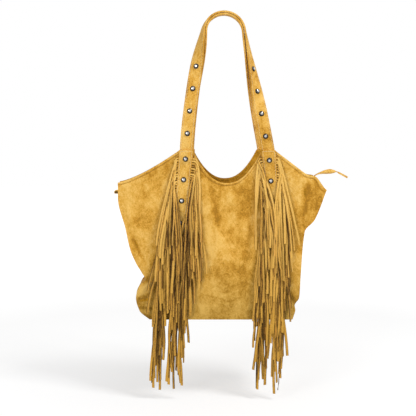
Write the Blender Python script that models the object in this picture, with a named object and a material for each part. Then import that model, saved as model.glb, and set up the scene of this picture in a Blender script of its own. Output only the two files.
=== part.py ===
"""Fringed suede shoulder bag, hung by its two nested straps.

Metres, +Z up, the bag's front towards -Y. The origin is on the underside of the rear strap at its
highest point, where the bag hangs. The sizes below are in millimetres.
"""

import math

import bmesh
import bpy
from mathutils import Vector

MM = 0.001

# Clearances
GAP = 0.35  # between pieces that touch
SOFT_GAP = 0.5  # between draped leather and what is sewn to it
TURN_GAP = 0.8  # between a stud and the turning strap under it

# Body
STRAP_DROP = 270.0  # top of the strap loop to the peaks of the front panel
BODY_HEIGHT = 340.0  # peaks down to the base seam
WALL = 1.8  # suede of the panels
HALF_TOP = 22.0  # half depth of the closed mouth
HALF_BASE = 58.0  # half depth of the boxed base
FLARE_EASE = 0.12  # how gently the depth starts to grow under the zip
LEFT_CORNER = 215.0  # upper corners of the panels, out from the middle
RIGHT_CORNER = 208.5
LEFT_CORNER_DROP = 66.0  # upper corners below the peaks
RIGHT_CORNER_DROP = 81.0
LEFT_WAIST = 166.0  # sides above the base corners
RIGHT_WAIST = 155.5
LEFT_BULGE = 178.0  # base corners where the box pushes out
RIGHT_BULGE = 152.0
LEFT_BASE = 150.0  # ends of the base seam
RIGHT_BASE = 138.0
WAIST_RISE = 88.0  # waist above the base seam
RIGHT_ARM = 164.0  # right side just under the wing
SHOULDER_LEFT = 30.0  # wings' lower ends below the corners
SHOULDER_RIGHT = 84.0
LEFT_PINCH = 9.0  # folds that pinch the sides above the base corners
LEFT_PINCH_RISE = 79.0
RIGHT_PINCH = 6.0
RIGHT_PINCH_RISE = 29.0
PINCH_WIDTH = 8.0
BULGE_RISE = 42.0
PEAK_LEFT = 76.0  # middles of the two peaks, under the strap ends
PEAK_RIGHT = 89.0
PEAK_HALF = 13.0  # half width of a peak's flat top
SCOOP_FRONT = 67.0  # depth of the scoop between the peaks
SCOOP_REAR = 59.5
REAR_NARROW = 8.0  # the rear scoop stops short of the right peak
SCOOP_POWER = 2.2
LEFT_WING_POWER = 1.35  # sag of the edge from the left peak to its corner
WING_FOLD_RISE = 12.0  # the fold that lifts the right wing's edge
WING_FOLD_INSET = 20.0
WING_FOLD_WIDTH = 13.0
SIDE_EASE = 0.10  # share of the depth lost at the side seams
DRAPE = 2.4  # soft waves in the panels
DRAPE_PITCH = 62.0

# Gussets, base and lining
GUSSET_WALL = 1.6
SEAM = 3.0  # panel edge standing past the gusset
GUSSET_TOP_DROP = 12.0  # gusset's top below the zip
GUSSET_FOLD = 34.0  # inward fold at the top
GUSSET_SWELL = 5.0  # outward swell at the base corners
BASE_WALL = 2.0
BOARD_THICK = 2.4
BOARD_INSET = 5.0
LINING_WALL = 0.8
LINING_INSET = 5.6
LINING_SIDE_DROP = 9.0  # sides of the lining below the facings

# Straps
STRAP_WIDTH = 26.0
STRAP_THICK = 4.1
LOOP_RADIUS = 36.5  # inside of the rear strap
LOOP_FACET = 0.10  # half angle of the flat at the top of the loop
LEFT_BOW = 1.4
RIGHT_BOW = 1.0
LEFT_TWIST = (10.0, -150.0)  # heights between which a leg turns its face forward
RIGHT_TWIST = (0.0, -262.0)
STRAP_PART = -50.0  # height from which the two straps part
STRAP_EASE = 1.3  # more room between the straps where they turn
STRAP_TUCK = 15.0  # strap end below the panel's peak
REAR_SHIFT_LEFT = 2.0
REAR_SHIFT_RIGHT = 6.0

# Stitched bands that carry the studs and the fringe
BAND_WIDTH_TOP = 29.0
BAND_WIDTH = 26.0
BAND_THICK = 1.6
BAND_BOTTOM_RISE = 18.0  # band's lower end above the base seam
LEFT_BAND_LEAN = 30.0  # how far the left band runs outward on its way down
RIGHT_BAND_LEAN = 10.0
REAR_TAB_LENGTH = 62.0

# Studs
STUD_RADIUS = 5.5
STUD_RISE = 3.0
STUD_RIM = 0.8
STUD_PITCH = 45.0
STRAP_STUDS = 4
LEFT_STUD_RISE = 33.0  # lowest strap stud above the peak
RIGHT_STUD_RISE = 27.5
LEFT_STUD_DROP = 18.0  # first band stud below the peak
RIGHT_STUD_DROP = 20.5
BAND_STUDS = (0.0, 42.0, 84.5, 129.0, 173.5, 211.0, 247.0, 283.5)  # below a band's first stud

# Fringe
HEADER_THICK = 1.4
HEADER_UNDER = 8.0
HEADER_OUT = 2.5
HEADER_DROP = 18.0  # header's top below the peak
THONG_PITCH = 13.5
THONG_WIDTH = 4.0
THONG_THICK = 1.3
THONG_LENGTH = 173.0
THONG_COLUMNS = 6
COLUMN_STEP = 4.5
COLUMN_FIRST = 3.4
LAYER_STEP = 2.3
LAYER_LIFT = 1.9
LIFT_LENGTH = 9.0
GATHER = {(-1, -1): 0.0, (-1, 1): 23.0, (1, 1): 19.0, (1, -1): 4.0}  # by band and by its edge
GATHER_LENGTH = 66.0

# Zip
ZIP_DROP = 84.0  # zip below the panel's peaks
ZIP_LEFT = 222.0  # tape's ends
ZIP_RIGHT = 191.0
FACING_THICK = 1.4
FACING_EDGE = 8.0  # inner edge of each facing from the middle
FACING_END = 14.0  # facing stops this far inside the panel's side
TAPE_THICK = 0.9
TAPE_LAP = 5.0  # tape under the facing
TEETH_GAP = 0.9  # half the clear way between the two rows
TEETH_WIDTH = 2.2
TEETH_RISE = 1.1
STOP_LENGTH = 4.0
SLIDER_LENGTH = 11.0
SLIDER_WIDTH = 9.0
SLIDER_PLATE = 1.2
SLIDER_REST = 165.0
SLIDER_TRAVEL = 345.0
BRIDGE_WIDTH = 1.0
BRIDGE_LENGTH = 3.0
CROWN_WIDTH = 2.4
CROWN_THICK = 1.1
CROWN_CLEAR = 2.2
TAB_BAR = 0.8  # radius of the pull tab's cross bar
TAB_LENGTH = 17.0
TAB_WIDTH = 6.4
TAB_ARM = 1.4
TAB_TILT = 62.0
PULL_THICK = 2.0
PULL_WIDTH = 3.8
PULL_LEAF = 9.6  # height of the leaf folded into the thong
PULL_REACH = 80.0  # from the tab's end to the tail's tip
END_TAB_LENGTH = 12.0
END_TAB_THICK = 1.2

PEAK_Z = -STRAP_DROP
BASE_Z = -STRAP_DROP - BODY_HEIGHT
ZIP_Z = PEAK_Z - ZIP_DROP
LAP = STRAP_THICK + GAP
STRAP_STEPS = 24
LOOP_CENTRE = -LOOP_RADIUS * math.cos(LOOP_FACET)
FRONT_RADIUS = LOOP_RADIUS + LAP + STRAP_THICK / 2


# Curves

def smooth(t):
    t = min(1.0, max(0.0, t))
    return t * t * (3 - 2 * t)


def mix(a, b, t):
    return a + (b - a) * t


def through(stations, s):
    """A monotone curve through (s, value) stations."""
    if s <= stations[0][0]:
        return stations[0][1]
    slopes = [(b[1] - a[1]) / (b[0] - a[0]) for a, b in zip(stations, stations[1:])]
    ends = [slopes[0]] + [
        0.0 if a * b <= 0 else 2 * a * b / (a + b) for a, b in zip(slopes, slopes[1:])
    ] + [slopes[-1]]
    for i, (a, b) in enumerate(zip(stations, stations[1:])):
        if s <= b[0]:
            width = b[0] - a[0]
            t = (s - a[0]) / width
            return (
                (2 * t ** 3 - 3 * t ** 2 + 1) * a[1]
                + (t ** 3 - 2 * t ** 2 + t) * width * ends[i]
                + (3 * t ** 2 - 2 * t ** 3) * b[1]
                + (t ** 3 - t ** 2) * width * ends[i + 1]
            )
    return stations[-1][1]


# Panel outline, seen from the front

def left_x(z):
    """Left side seam at a height."""
    corner = PEAK_Z - LEFT_CORNER_DROP
    waist = BASE_Z + WAIST_RISE
    pinch = LEFT_PINCH * math.exp(-(((z - BASE_Z - LEFT_PINCH_RISE) / PINCH_WIDTH) ** 2))
    return pinch - through((
        (BASE_Z, LEFT_BASE), (BASE_Z + BULGE_RISE / 2.6, mix(LEFT_BASE, LEFT_BULGE, 0.72)),
        (BASE_Z + BULGE_RISE, LEFT_BULGE), (waist, LEFT_WAIST),
        (mix(waist, corner, 0.12), mix(LEFT_WAIST, LEFT_CORNER, 0.24)),
        (mix(waist, corner, 0.27), mix(LEFT_WAIST, LEFT_CORNER, 0.49)),
        (mix(waist, corner, 0.5), mix(LEFT_WAIST, LEFT_CORNER, 0.69)),
        (corner - SHOULDER_LEFT, LEFT_CORNER), (corner, LEFT_CORNER)), z)


def right_x(z):
    """Right side seam at a height."""
    corner = PEAK_Z - RIGHT_CORNER_DROP
    pinch = RIGHT_PINCH * math.exp(-(((z - BASE_Z - RIGHT_PINCH_RISE) / PINCH_WIDTH) ** 2))
    return through((
        (BASE_Z, RIGHT_BASE), (BASE_Z + BULGE_RISE, RIGHT_BULGE),
        (BASE_Z + WAIST_RISE, RIGHT_WAIST), (corner - SHOULDER_RIGHT, RIGHT_ARM),
        (corner - 0.72 * SHOULDER_RIGHT, mix(RIGHT_ARM, RIGHT_CORNER, 0.45)),
        (corner, RIGHT_CORNER)), z) - pinch


def scoop_span():
    return -PEAK_LEFT + PEAK_HALF, PEAK_RIGHT - PEAK_HALF


def top_z(x, scoop):
    """Upper edge of a panel at x."""
    low, high = scoop_span()
    if scoop == SCOOP_REAR:
        high -= REAR_NARROW
    if low < x < high:
        t = abs(2 * (x - low) / (high - low) - 1)
        return PEAK_Z - scoop * (1 - t ** SCOOP_POWER)
    if x <= low:
        out = -PEAK_LEFT - PEAK_HALF
        t = min(1.0, max(0.0, (out - x) / (LEFT_CORNER + out)))
        return PEAK_Z - LEFT_CORNER_DROP * (1 - (1 - t) ** LEFT_WING_POWER)
    out = PEAK_RIGHT + PEAK_HALF
    t = min(1.0, max(0.0, (x - out) / (RIGHT_CORNER - out)))
    fold = math.exp(-(((x - RIGHT_CORNER + WING_FOLD_INSET) / WING_FOLD_WIDTH) ** 2))
    return PEAK_Z - RIGHT_CORNER_DROP * t + WING_FOLD_RISE * fold * (1 - t ** 8)


def outline_point(u, v, x_top, scoop):
    """Panel point at share u across and v up, whose column ends at x_top."""
    z = mix(BASE_Z, top_z(x_top, scoop), v)
    left, right = PEAK_Z - LEFT_CORNER_DROP, PEAK_Z - RIGHT_CORNER_DROP
    base = mix(-LEFT_BASE, RIGHT_BASE, u)
    x = mix(base, x_top, v)
    x += (1 - u) * (left_x(mix(BASE_Z, left, v)) - mix(-LEFT_BASE, -LEFT_CORNER, v))
    x += u * (right_x(mix(BASE_Z, right, v)) - mix(RIGHT_BASE, RIGHT_CORNER, v))
    return x, z


def band_x(side, z):
    """Middle line of the stitched band on the left (-1) or right (+1)."""
    t = (PEAK_Z - z) / (BODY_HEIGHT - BAND_BOTTOM_RISE)
    if side < 0:
        return -PEAK_LEFT - LEFT_BAND_LEAN * t
    return PEAK_RIGHT + RIGHT_BAND_LEAN * min(1.0, max(0.0, 1 - (1 - t) ** 4))


def half_depth(x, z):
    """Half depth of the bag at a point of the panels, before the drape."""
    t = min(1.0, max(0.0, (ZIP_Z + 30 - z) / (ZIP_Z + 30 - BASE_Z)))
    ease = t * t * (1 + FLARE_EASE) / (t + FLARE_EASE)
    half = HALF_TOP + (HALF_BASE - HALF_TOP) * (0.55 * ease + 0.45 * t * t)
    reach = LEFT_WAIST if x < 0 else RIGHT_WAIST
    edge = smooth((abs(x) / reach - 0.78) / 0.5)
    return half * (1 - SIDE_EASE * edge * smooth((t - 0.1) / 0.5))


def drape(x, z):
    """Soft vertical waves, calm where something is sewn on."""
    calm = 1.0
    for side in (-1, 1):
        calm *= smooth((abs(x - band_x(side, z)) - 48) / 22)
    calm *= smooth((abs(z - ZIP_Z) - 14) / 40) * smooth((z - BASE_Z - 12) / 50)
    calm *= smooth((x - left_x(z) - 20) / 26) * smooth((right_x(z) - x - 20) / 26)
    wave = math.sin(2 * math.pi * (x + 0.22 * z) / DRAPE_PITCH)
    roll = math.sin(2 * math.pi * (0.6 * x - z) / (2.4 * DRAPE_PITCH))
    return DRAPE * calm * (0.7 * wave + 0.6 * roll)


def front_y(x, z):
    return -half_depth(x, z) - drape(x, z)


def rear_y(x, z):
    return half_depth(x, z) + drape(-x, z)


# Mesh building

def finish(name, bm, colour, roughness, metallic, smooth_angle=None):
    """Close the mesh, turn its faces out and add it to the scene in metres."""
    bmesh.ops.recalc_face_normals(bm, faces=bm.faces)
    bmesh.ops.scale(bm, vec=(MM, MM, MM), verts=bm.verts)
    mesh = bpy.data.meshes.new(name)
    bm.to_mesh(mesh)
    bm.free()
    material = bpy.data.materials.new(name)
    material.use_nodes = True
    shader = material.node_tree.nodes["Principled BSDF"]
    shader.inputs["Base Color"].default_value = (*colour, 1)
    shader.inputs["Roughness"].default_value = roughness
    shader.inputs["Metallic"].default_value = metallic
    mesh.materials.append(material)
    if smooth_angle is not None:
        mesh.shade_smooth()
        mesh.set_sharp_from_angle(angle=math.radians(smooth_angle))
    piece = bpy.data.objects.new(name, mesh)
    bpy.context.scene.collection.objects.link(piece)
    return piece


SUEDE = (0.62, 0.37, 0.06)
SUEDE_DARK = (0.36, 0.22, 0.05)
CANVAS = (0.20, 0.15, 0.09)
METAL = (0.23, 0.22, 0.20)


def suede(name, bm, colour=SUEDE):
    return finish(name, bm, colour, 0.95, 0.0, 40)


def slab(near, far):
    """A closed slab between two grids of points with the same rows and columns."""
    bm = bmesh.new()
    rows, columns = len(near), len(near[0])
    a = [[bm.verts.new(p) for p in row] for row in near]
    b = [[bm.verts.new(p) for p in row] for row in far]
    for i in range(rows - 1):
        for j in range(columns - 1):
            bm.faces.new((a[i][j], a[i][j + 1], a[i + 1][j + 1], a[i + 1][j]))
            bm.faces.new((b[i][j], b[i + 1][j], b[i + 1][j + 1], b[i][j + 1]))
    rim = [(0, j) for j in range(columns)] + [(i, columns - 1) for i in range(1, rows)]
    rim += [(rows - 1, j) for j in range(columns - 2, -1, -1)] + [(i, 0) for i in range(rows - 2, 0, -1)]
    for (i, j), (k, m) in zip(rim, rim[1:] + rim[:1]):
        bm.faces.new((a[i][j], b[i][j], b[k][m], a[k][m]))
    return bm


def tube(loops, bm=None):
    """A closed body along loops of points, with flat ends."""
    bm = bm or bmesh.new()
    rings = [[bm.verts.new(p) for p in loop] for loop in loops]
    count = len(rings[0])
    for low, high in zip(rings, rings[1:]):
        for j in range(count):
            k = (j + 1) % count
            bm.faces.new((low[j], low[k], high[k], high[j]))
    bm.faces.new(rings[0][::-1])
    bm.faces.new(rings[-1])
    return bm


def box(bm, low, high):
    made = bmesh.ops.create_cube(bm, size=1.0)["verts"]
    for vert in made:
        for axis in range(3):
            vert.co[axis] = low[axis] if vert.co[axis] < 0 else high[axis]
    return made


def spread(marks, counts):
    """Values from mark to mark, each stretch in its own number of steps."""
    out = [marks[0]]
    for (a, b), count in zip(zip(marks, marks[1:]), counts):
        out += [mix(a, b, (i + 1) / count) for i in range(count)]
    return out


# Panels, gussets and base

def panel_columns():
    low, high = scoop_span()
    marks = [-LEFT_CORNER, -PEAK_LEFT - PEAK_HALF, low, (low + high) / 2, high,
             PEAK_RIGHT + PEAK_HALF, RIGHT_CORNER]
    return spread(marks, (7, 2, 4, 4, 2, 7))


def panel(name, surface, scoop, inward, colour=SUEDE):
    columns = panel_columns()
    height = BODY_HEIGHT - LEFT_CORNER_DROP
    near, far = [], []
    for v in spread((0, BULGE_RISE / height, LEFT_PINCH_RISE / height, 1), (3, 3, 8)):
        line = []
        for j, x_top in enumerate(columns):
            u = (x_top + LEFT_CORNER) / (LEFT_CORNER + RIGHT_CORNER)
            line.append(outline_point(u, v, x_top, scoop))
        near.append([(x, surface(x, z), z) for x, z in line])
        far.append([(x, surface(x, z) + inward * WALL, z) for x, z in line])
    suede(name, slab(near, far), colour)


def gusset_fold(z, w, swell):
    """How far a gusset lies inward of the side seam, at share w across."""
    t = smooth((z - BASE_Z - WAIST_RISE / 2) / (ZIP_Z - BASE_Z - WAIST_RISE / 2))
    return (GUSSET_FOLD * t - swell * (1 - t)) * (1 - abs(w) ** 1.7)


def gusset_heights(count, bottom=BASE_Z + BASE_WALL + 2 * GAP):
    return [mix(bottom, ZIP_Z - GUSSET_TOP_DROP, i / count) for i in range(count + 1)]


def gusset(name, side):
    seam_x = left_x if side < 0 else right_x
    near, far = [], []
    for z in gusset_heights(12):
        x = seam_x(z) - side * SEAM
        reach = half_depth(x, z) - WALL - SOFT_GAP
        near_row, far_row = [], []
        for j in range(9):
            w = j / 4 - 1
            inward = gusset_fold(z, w, GUSSET_SWELL)
            near_row.append((x - side * inward, w * reach, z))
            far_row.append((x - side * (inward + GUSSET_WALL), w * reach, z))
        near.append(near_row)
        far.append(far_row)
    suede(name, slab(near, far))


def base_outline(inset, z):
    """Corners of the base at a height, inset from the seams."""
    left, right = left_x(z) + inset + SEAM, right_x(z) - inset - SEAM
    near, far = [], []
    for j in range(9):
        x = mix(left, right, j / 8)
        reach = half_depth(x, z) - WALL - SOFT_GAP - inset
        near.append((x, -reach))
        far.append((x, reach))
    return near, far


def base_plate(name, inset, z, thick, colour):
    near, far = base_outline(inset, z)
    rows = []
    for j in range(9):
        (x, low), (_, high) = near[j], far[j]
        rows.append([(x, mix(low, high, k / 4)) for k in range(5)])
    suede(name, slab([[(x, y, z) for x, y in row] for row in rows],
                     [[(x, y, z + thick) for x, y in row] for row in rows]), colour)


def lining_ring(z, offset):
    """Points round the lining at a height, offset outward by its wall; True where it meets a facing."""
    inset = LINING_INSET - offset
    left, right = left_x(z) + SEAM, right_x(z) - SEAM

    def side_points(seam, inward, shares):
        reach = half_depth(seam, z) - WALL - SOFT_GAP
        return [(seam + inward * (gusset_fold(z, w, 0) + GUSSET_WALL + inset), w * reach, False)
                for w in shares]

    def corner(seam, inward):
        reach = half_depth(seam, z) - WALL - SOFT_GAP
        share = 1 - inset / reach
        return seam + inward * (gusset_fold(z, share, 0) + GUSSET_WALL + inset)

    shares = (-0.5, -0.25, 0, 0.25, 0.5)
    across = [mix(corner(left, 1), corner(right, -1), i / 8) for i in range(9)]
    ring = [(x, -half_depth(x, z) + WALL + inset, True) for x in across]
    ring += side_points(right, -1, shares)
    ring += [(x, half_depth(x, z) - WALL - inset, True) for x in reversed(across)]
    return ring + side_points(left, 1, shares[::-1])


def lining():
    """A loose pouch that hangs from the zip facings, lower at its sides to pass under the zip."""
    bottom = BASE_Z + BASE_WALL + BOARD_THICK + 3 * GAP
    top = ZIP_Z - FACING_THICK - GAP
    heights = [mix(bottom, top - LINING_SIDE_DROP, i / 6) for i in range(7)]

    def loop(z, offset):
        return [(x, y, z) for x, y, _ in lining_ring(z, offset)]

    def rim(offset):
        return [(x, y, top if meets else top - LINING_SIDE_DROP / 2)
                for x, y, meets in lining_ring(top, offset)]

    loops = [loop(z, LINING_WALL) for z in heights] + [rim(LINING_WALL), rim(0)]
    heights[0] += LINING_WALL
    loops += [loop(z, 0) for z in reversed(heights)]
    finish("lining", tube(loops), CANVAS, 0.9, 0.0, 40)


# Straps

def leg_slope(side):
    spread_out = (PEAK_LEFT if side < 0 else PEAK_RIGHT) - FRONT_RADIUS
    bow = LEFT_BOW if side < 0 else RIGHT_BOW
    return spread_out * bow / (STRAP_DROP + LOOP_CENTRE)


def leg_line(side, s):
    """Middle, outward direction and parting share of the front strap, before it is set square.

    s runs from 0 at the top of the loop to 1 at the end of the arc and on to 2 at the strap's end.
    """
    turn = math.atan2(1, leg_slope(side))
    angle = turn * min(s, 1.0)
    x, z = FRONT_RADIUS * math.sin(angle), LOOP_CENTRE + FRONT_RADIUS * math.cos(angle)
    outward = Vector((side * math.sin(angle), 0, math.cos(angle)))
    if s > 1:
        x0, z0 = x, z
        z = mix(z0, PEAK_Z - STRAP_TUCK, s - 1)
        bow, peak = (LEFT_BOW, PEAK_LEFT) if side < 0 else (RIGHT_BOW, PEAK_RIGHT)
        x = x0 + (peak - x0) * (1 - (1 - min(1.0, (z0 - z) / (z0 - PEAK_Z))) ** bow)
    top, bottom = LEFT_TWIST if side < 0 else RIGHT_TWIST
    twist = math.pi / 2 * smooth((top - z) / (top - bottom))
    part = smooth((STRAP_PART - z) / (STRAP_PART - PEAK_Z))
    y = -(HALF_TOP + SOFT_GAP + STRAP_THICK / 2) * part
    normal = outward * math.cos(twist) + Vector((0, -1, 0)) * math.sin(twist)
    return Vector((side * x, y, z)), normal, part


def rear_line(side, s):
    """The rear strap's line: nested in the front one, then parting from it to the rear panel."""
    middle, normal, part = leg_line(side, s)
    shift = REAR_SHIFT_LEFT if side < 0 else -REAR_SHIFT_RIGHT
    apart = 2 * (HALF_TOP + SOFT_GAP + STRAP_THICK / 2) - LAP
    lap = LAP + STRAP_EASE * smooth((LOOP_CENTRE / 2 - middle.z) / 40) * (1 - part)
    return middle - normal * lap + Vector((shift, apart, 0)) * part, normal, part


def square(line, side, s):
    """Middle, outward normal and width direction of a strap, square to its run."""
    middle, normal, _ = line(side, s)
    along = (line(side, min(2.0, s + 0.01))[0] - line(side, max(0.0, s - 0.01))[0]).normalized()
    if s < 0.01:
        along = Vector((side, 0, 0))
    normal = (normal - along * normal.dot(along)).normalized()
    return middle, normal, along.cross(normal)


def strap_frame(side, s):
    return square(leg_line, side, s)


def rear_frame(side, s):
    return square(rear_line, side, s)


def strap_stations():
    """(side, s) along a strap, with one short flat stretch at the top of the loop."""
    half = []
    for side in (-1, 1):
        turn = math.atan2(1, leg_slope(side))
        flat = LOOP_FACET / turn
        shares = [flat + (1 - flat) * i / 6 for i in range(7)]
        shares += [1 + (i + 1) / STRAP_STEPS for i in range(STRAP_STEPS)]
        half.append([(side, s) for s in shares])
    return half[0][::-1] + half[1]


def strap(name, frame_of):
    loops = []
    for side, s in strap_stations():
        middle, normal, width = frame_of(side, s)
        if side < 0:
            width = -width
        across, deep = width * STRAP_WIDTH / 2, normal * STRAP_THICK / 2
        loops.append([middle - across - deep, middle + across - deep,
                      middle + across + deep, middle - across + deep])
    suede(name, tube(loops))


# Bands, studs and fringe

def band_width(z):
    return mix(BAND_WIDTH, BAND_WIDTH_TOP, smooth((z - PEAK_Z + 60) / 60))


def band_offset(z):
    """Back of a band out from the panel: over the strap's end, then over the headers."""
    lap = STRAP_THICK + GAP + SOFT_GAP
    low = HEADER_THICK + GAP + SOFT_GAP
    return mix(low, lap, smooth((z - PEAK_Z + STRAP_TUCK + 14) / 12))


def band(name, side):
    bottom = BASE_Z + BAND_BOTTOM_RISE
    heights = spread([bottom, PEAK_Z - STRAP_TUCK - 16, PEAK_Z - STRAP_TUCK, PEAK_Z], (11, 4, 1))
    near, far = [], []
    for z in heights:
        y = -half_depth(band_x(side, z), z) - band_offset(z)
        line = [band_x(side, z) + band_width(z) * (k / 2 - 1) / 2 for k in range(5)]
        near.append([(x, y - BAND_THICK, z) for x in line])
        far.append([(x, y, z) for x in line])
    suede(name, slab(near, far))


def rear_tab(name, side):
    """The plain stitched tab over the rear strap's end."""
    shift = REAR_SHIFT_LEFT if side < 0 else -REAR_SHIFT_RIGHT
    bottom = PEAK_Z - REAR_TAB_LENGTH
    near, far = [], []
    for z in spread([bottom, PEAK_Z - STRAP_TUCK - 12, PEAK_Z - STRAP_TUCK, PEAK_Z], (3, 3, 1)):
        ease = smooth((z - PEAK_Z + STRAP_TUCK + 12) / 10)
        y = half_depth(band_x(side, z), z) + mix(SOFT_GAP, STRAP_THICK + GAP + SOFT_GAP, ease)
        middle = mix(side * (PEAK_LEFT if side < 0 else PEAK_RIGHT) + shift,
                     band_x(side, z) + shift, 0.5)
        line = [middle + BAND_WIDTH_TOP * (k / 2 - 1) / 2 for k in range(5)]
        near.append([(x, y, z) for x in line])
        far.append([(x, y + BAND_THICK, z) for x in line])
    suede(name, slab(near, far))


def stud(name, middle, normal, width, clear=GAP):
    """A domed stud, its back just clear of the leather."""
    up = normal.cross(width)
    rings = []
    for radius, rise in ((STUD_RADIUS, 0), (STUD_RADIUS, STUD_RIM),
                         (STUD_RADIUS * 0.72, STUD_RISE * 0.78), (STUD_RADIUS * 0.3, STUD_RISE)):
        rings.append([middle + normal * (clear + rise) + (width * math.cos(a) + up * math.sin(a)) * radius
                      for a in (2 * math.pi * k / 8 for k in range(8))])
    finish(name, tube(rings), METAL, 0.35, 1.0, 50)


def leg_place(frame_of, side, z):
    """Share along a strap at which its middle reaches a height."""
    low, high = 1.0, 2.0
    for _ in range(40):
        middle = (low + high) / 2
        if frame_of(side, middle)[0].z > z:
            low = middle
        else:
            high = middle
    return (low + high) / 2


def strap_studs():
    for side, word in ((-1, "left"), (1, "right")):
        for k in range(STRAP_STUDS):
            z = PEAK_Z + (LEFT_STUD_RISE if side < 0 else RIGHT_STUD_RISE) + k * STUD_PITCH
            middle, normal, width = strap_frame(side, leg_place(strap_frame, side, z))
            stud(f"stud_strap_{word}_{k + 1}", middle + normal * (STRAP_THICK / 2), normal, width,
                 TURN_GAP)
            middle, normal, width = rear_frame(side, leg_place(rear_frame, side, z))
            stud(f"stud_rear_{word}_{k + 1}", middle - normal * (STRAP_THICK / 2), -normal, width,
                 TURN_GAP)


def band_studs():
    for side, word in ((-1, "left"), (1, "right")):
        for k, down in enumerate(BAND_STUDS):
            z = PEAK_Z - (LEFT_STUD_DROP if side < 0 else RIGHT_STUD_DROP) - down
            y = -half_depth(band_x(side, z), z) - band_offset(z) - BAND_THICK
            rise = 4.0
            slope = (half_depth(band_x(side, z), z - rise) + band_offset(z - rise)
                     - half_depth(band_x(side, z), z + rise) - band_offset(z + rise)) / (2 * rise)
            normal = Vector((0, -1, slope)).normalized()
            stud(f"stud_band_{word}_{k + 1}", Vector((band_x(side, z), y, z)), normal,
                 Vector((1, 0, 0)))


def thong_path(root, out, column, panel_y, edge_x, gather, levels):
    """Middle points and in-plane directions of one thong, from its header downward."""
    reach = COLUMN_FIRST + column * COLUMN_STEP
    bend = min(reach, 7.0)
    stations = [(reach - bend + bend * math.sin(a), bend * (1 - math.cos(a)), a)
                for a in (0.0, math.pi / 4, math.pi / 2)]
    tip = bend + THONG_LENGTH
    downs = [bend + LIFT_LENGTH * 1.4]
    downs += [root - z for z in levels if downs[0] + 4 < root - z < tip - 4] + [tip]
    stations += [(reach, down, math.pi / 2) for down in downs]
    points = []
    for far, down, angle in stations:
        z = root - down
        depth = LAYER_LIFT * smooth((down - bend * 0.4) / LIFT_LENGTH)
        depth += LAYER_STEP * down / (THONG_COLUMNS * THONG_PITCH)
        line = edge_x(z) if down > bend else edge_x(root)
        x = line + out * (HEADER_OUT + far - gather(z))
        hold = max(panel_y(x, max(z, BASE_Z)), points[-1][0][3] if points else 0)
        points.append(((x, -(hold + depth), z, hold), angle))
    return points


def fringe(name, side, out):
    """One strip of thongs, cut in one piece with the header sewn under the band's edge."""
    def edge_x(z):
        z = max(z, BASE_Z + BAND_BOTTOM_RISE)
        return band_x(side, z) + out * band_width(z) / 2

    def cover(x, z):
        return half_depth(x, z) + SOFT_GAP

    def gather(z):
        """How far the loose ends draw in under the band."""
        return GATHER[side, out] * smooth((BASE_Z + BAND_BOTTOM_RISE - z) / GATHER_LENGTH)

    bm = bmesh.new()
    top, bottom = PEAK_Z - HEADER_DROP, BASE_Z + BAND_BOTTOM_RISE + 4
    count = int((top - bottom) / THONG_PITCH)
    roots = [top - THONG_PITCH * (k + 0.5) for k in range(count)]
    heights = [top]
    for root in roots:
        heights += [root + THONG_WIDTH / 2, root - THONG_WIDTH / 2]
    heights.append(bottom)
    levels = [top - THONG_COLUMNS * THONG_PITCH * k for k in range(1, 5)] + [BASE_Z]
    levels += [bottom - 4 - GATHER_LENGTH * share for share in (0, 0.5, 1)]
    levels = sorted(set(levels), reverse=True)

    def section(z):
        inner, outer = edge_x(z) - out * HEADER_UNDER, edge_x(z) + out * HEADER_OUT
        back = -cover(edge_x(z), z)
        return [bm.verts.new(p) for p in ((inner, back, z), (outer, back, z),
                                          (outer, back - THONG_THICK, z), (inner, back - THONG_THICK, z))]

    rings = [section(z) for z in heights]
    bm.faces.new(rings[0])
    bm.faces.new(rings[-1][::-1])
    for index, (high, low) in enumerate(zip(rings, rings[1:])):
        for j in (0, 1, 2, 3):
            if j == 1 and index % 2 == 1:
                continue
            k = (j + 1) % 4
            bm.faces.new((high[j], high[k], low[k], low[j]))
    for index, root in enumerate(roots):
        high, low = rings[2 * index + 1], rings[2 * index + 2]
        loop = [high[1], low[1], low[2], high[2]]
        column = THONG_COLUMNS - 1 - index % THONG_COLUMNS
        for (x, y, z, _), angle in thong_path(root, out, column, cover, edge_x, gather, levels)[1:]:
            side_x, side_z = out * math.sin(angle) * THONG_WIDTH / 2, math.cos(angle) * THONG_WIDTH / 2
            ring = [bm.verts.new(p) for p in (
                (x + side_x, y, z + side_z), (x - side_x, y, z - side_z),
                (x - side_x, y - THONG_THICK, z - side_z), (x + side_x, y - THONG_THICK, z + side_z))]
            for j in range(4):
                k = (j + 1) % 4
                bm.faces.new((loop[j], loop[k], ring[k], ring[j]))
            loop = ring
        bm.faces.new(loop)
    suede(name, bm)


# Zip

def facing(name, side):
    left = max(left_x(ZIP_Z) + FACING_END, -ZIP_LEFT + END_TAB_LENGTH + SOFT_GAP)
    right = min(right_x(ZIP_Z) - FACING_END, ZIP_RIGHT - END_TAB_LENGTH - SOFT_GAP)
    near, far = [], []
    for j in range(13):
        x = mix(left, right, j / 12)
        outer = half_depth(x, ZIP_Z) - WALL - SOFT_GAP
        near.append([(x, side * mix(FACING_EDGE, outer, k / 2), ZIP_Z) for k in range(3)])
        far.append([(x, y, z - FACING_THICK) for x, y, z in near[-1]])
    suede(name, slab(near, far))


def tape(name, side):
    """Half of the zip: its tape, row of teeth and end stops as one strip."""
    top = ZIP_Z - FACING_THICK - GAP
    outer = FACING_EDGE + TAPE_LAP
    inner, edge = TEETH_GAP, TEETH_GAP + TEETH_WIDTH
    rise, floor = top + TEETH_RISE, top - TAPE_THICK
    under = floor - TEETH_RISE
    section = [(outer, floor), (outer, top), (edge, top), (edge, rise), (inner, rise),
               (inner, under), (edge, under), (edge, floor)]
    loops = []
    for x in (-ZIP_LEFT, ZIP_RIGHT):
        loops.append([(x, side * y, z) for y, z in section])
    finish(name, tube(loops), CANVAS, 0.8, 0.0)


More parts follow.
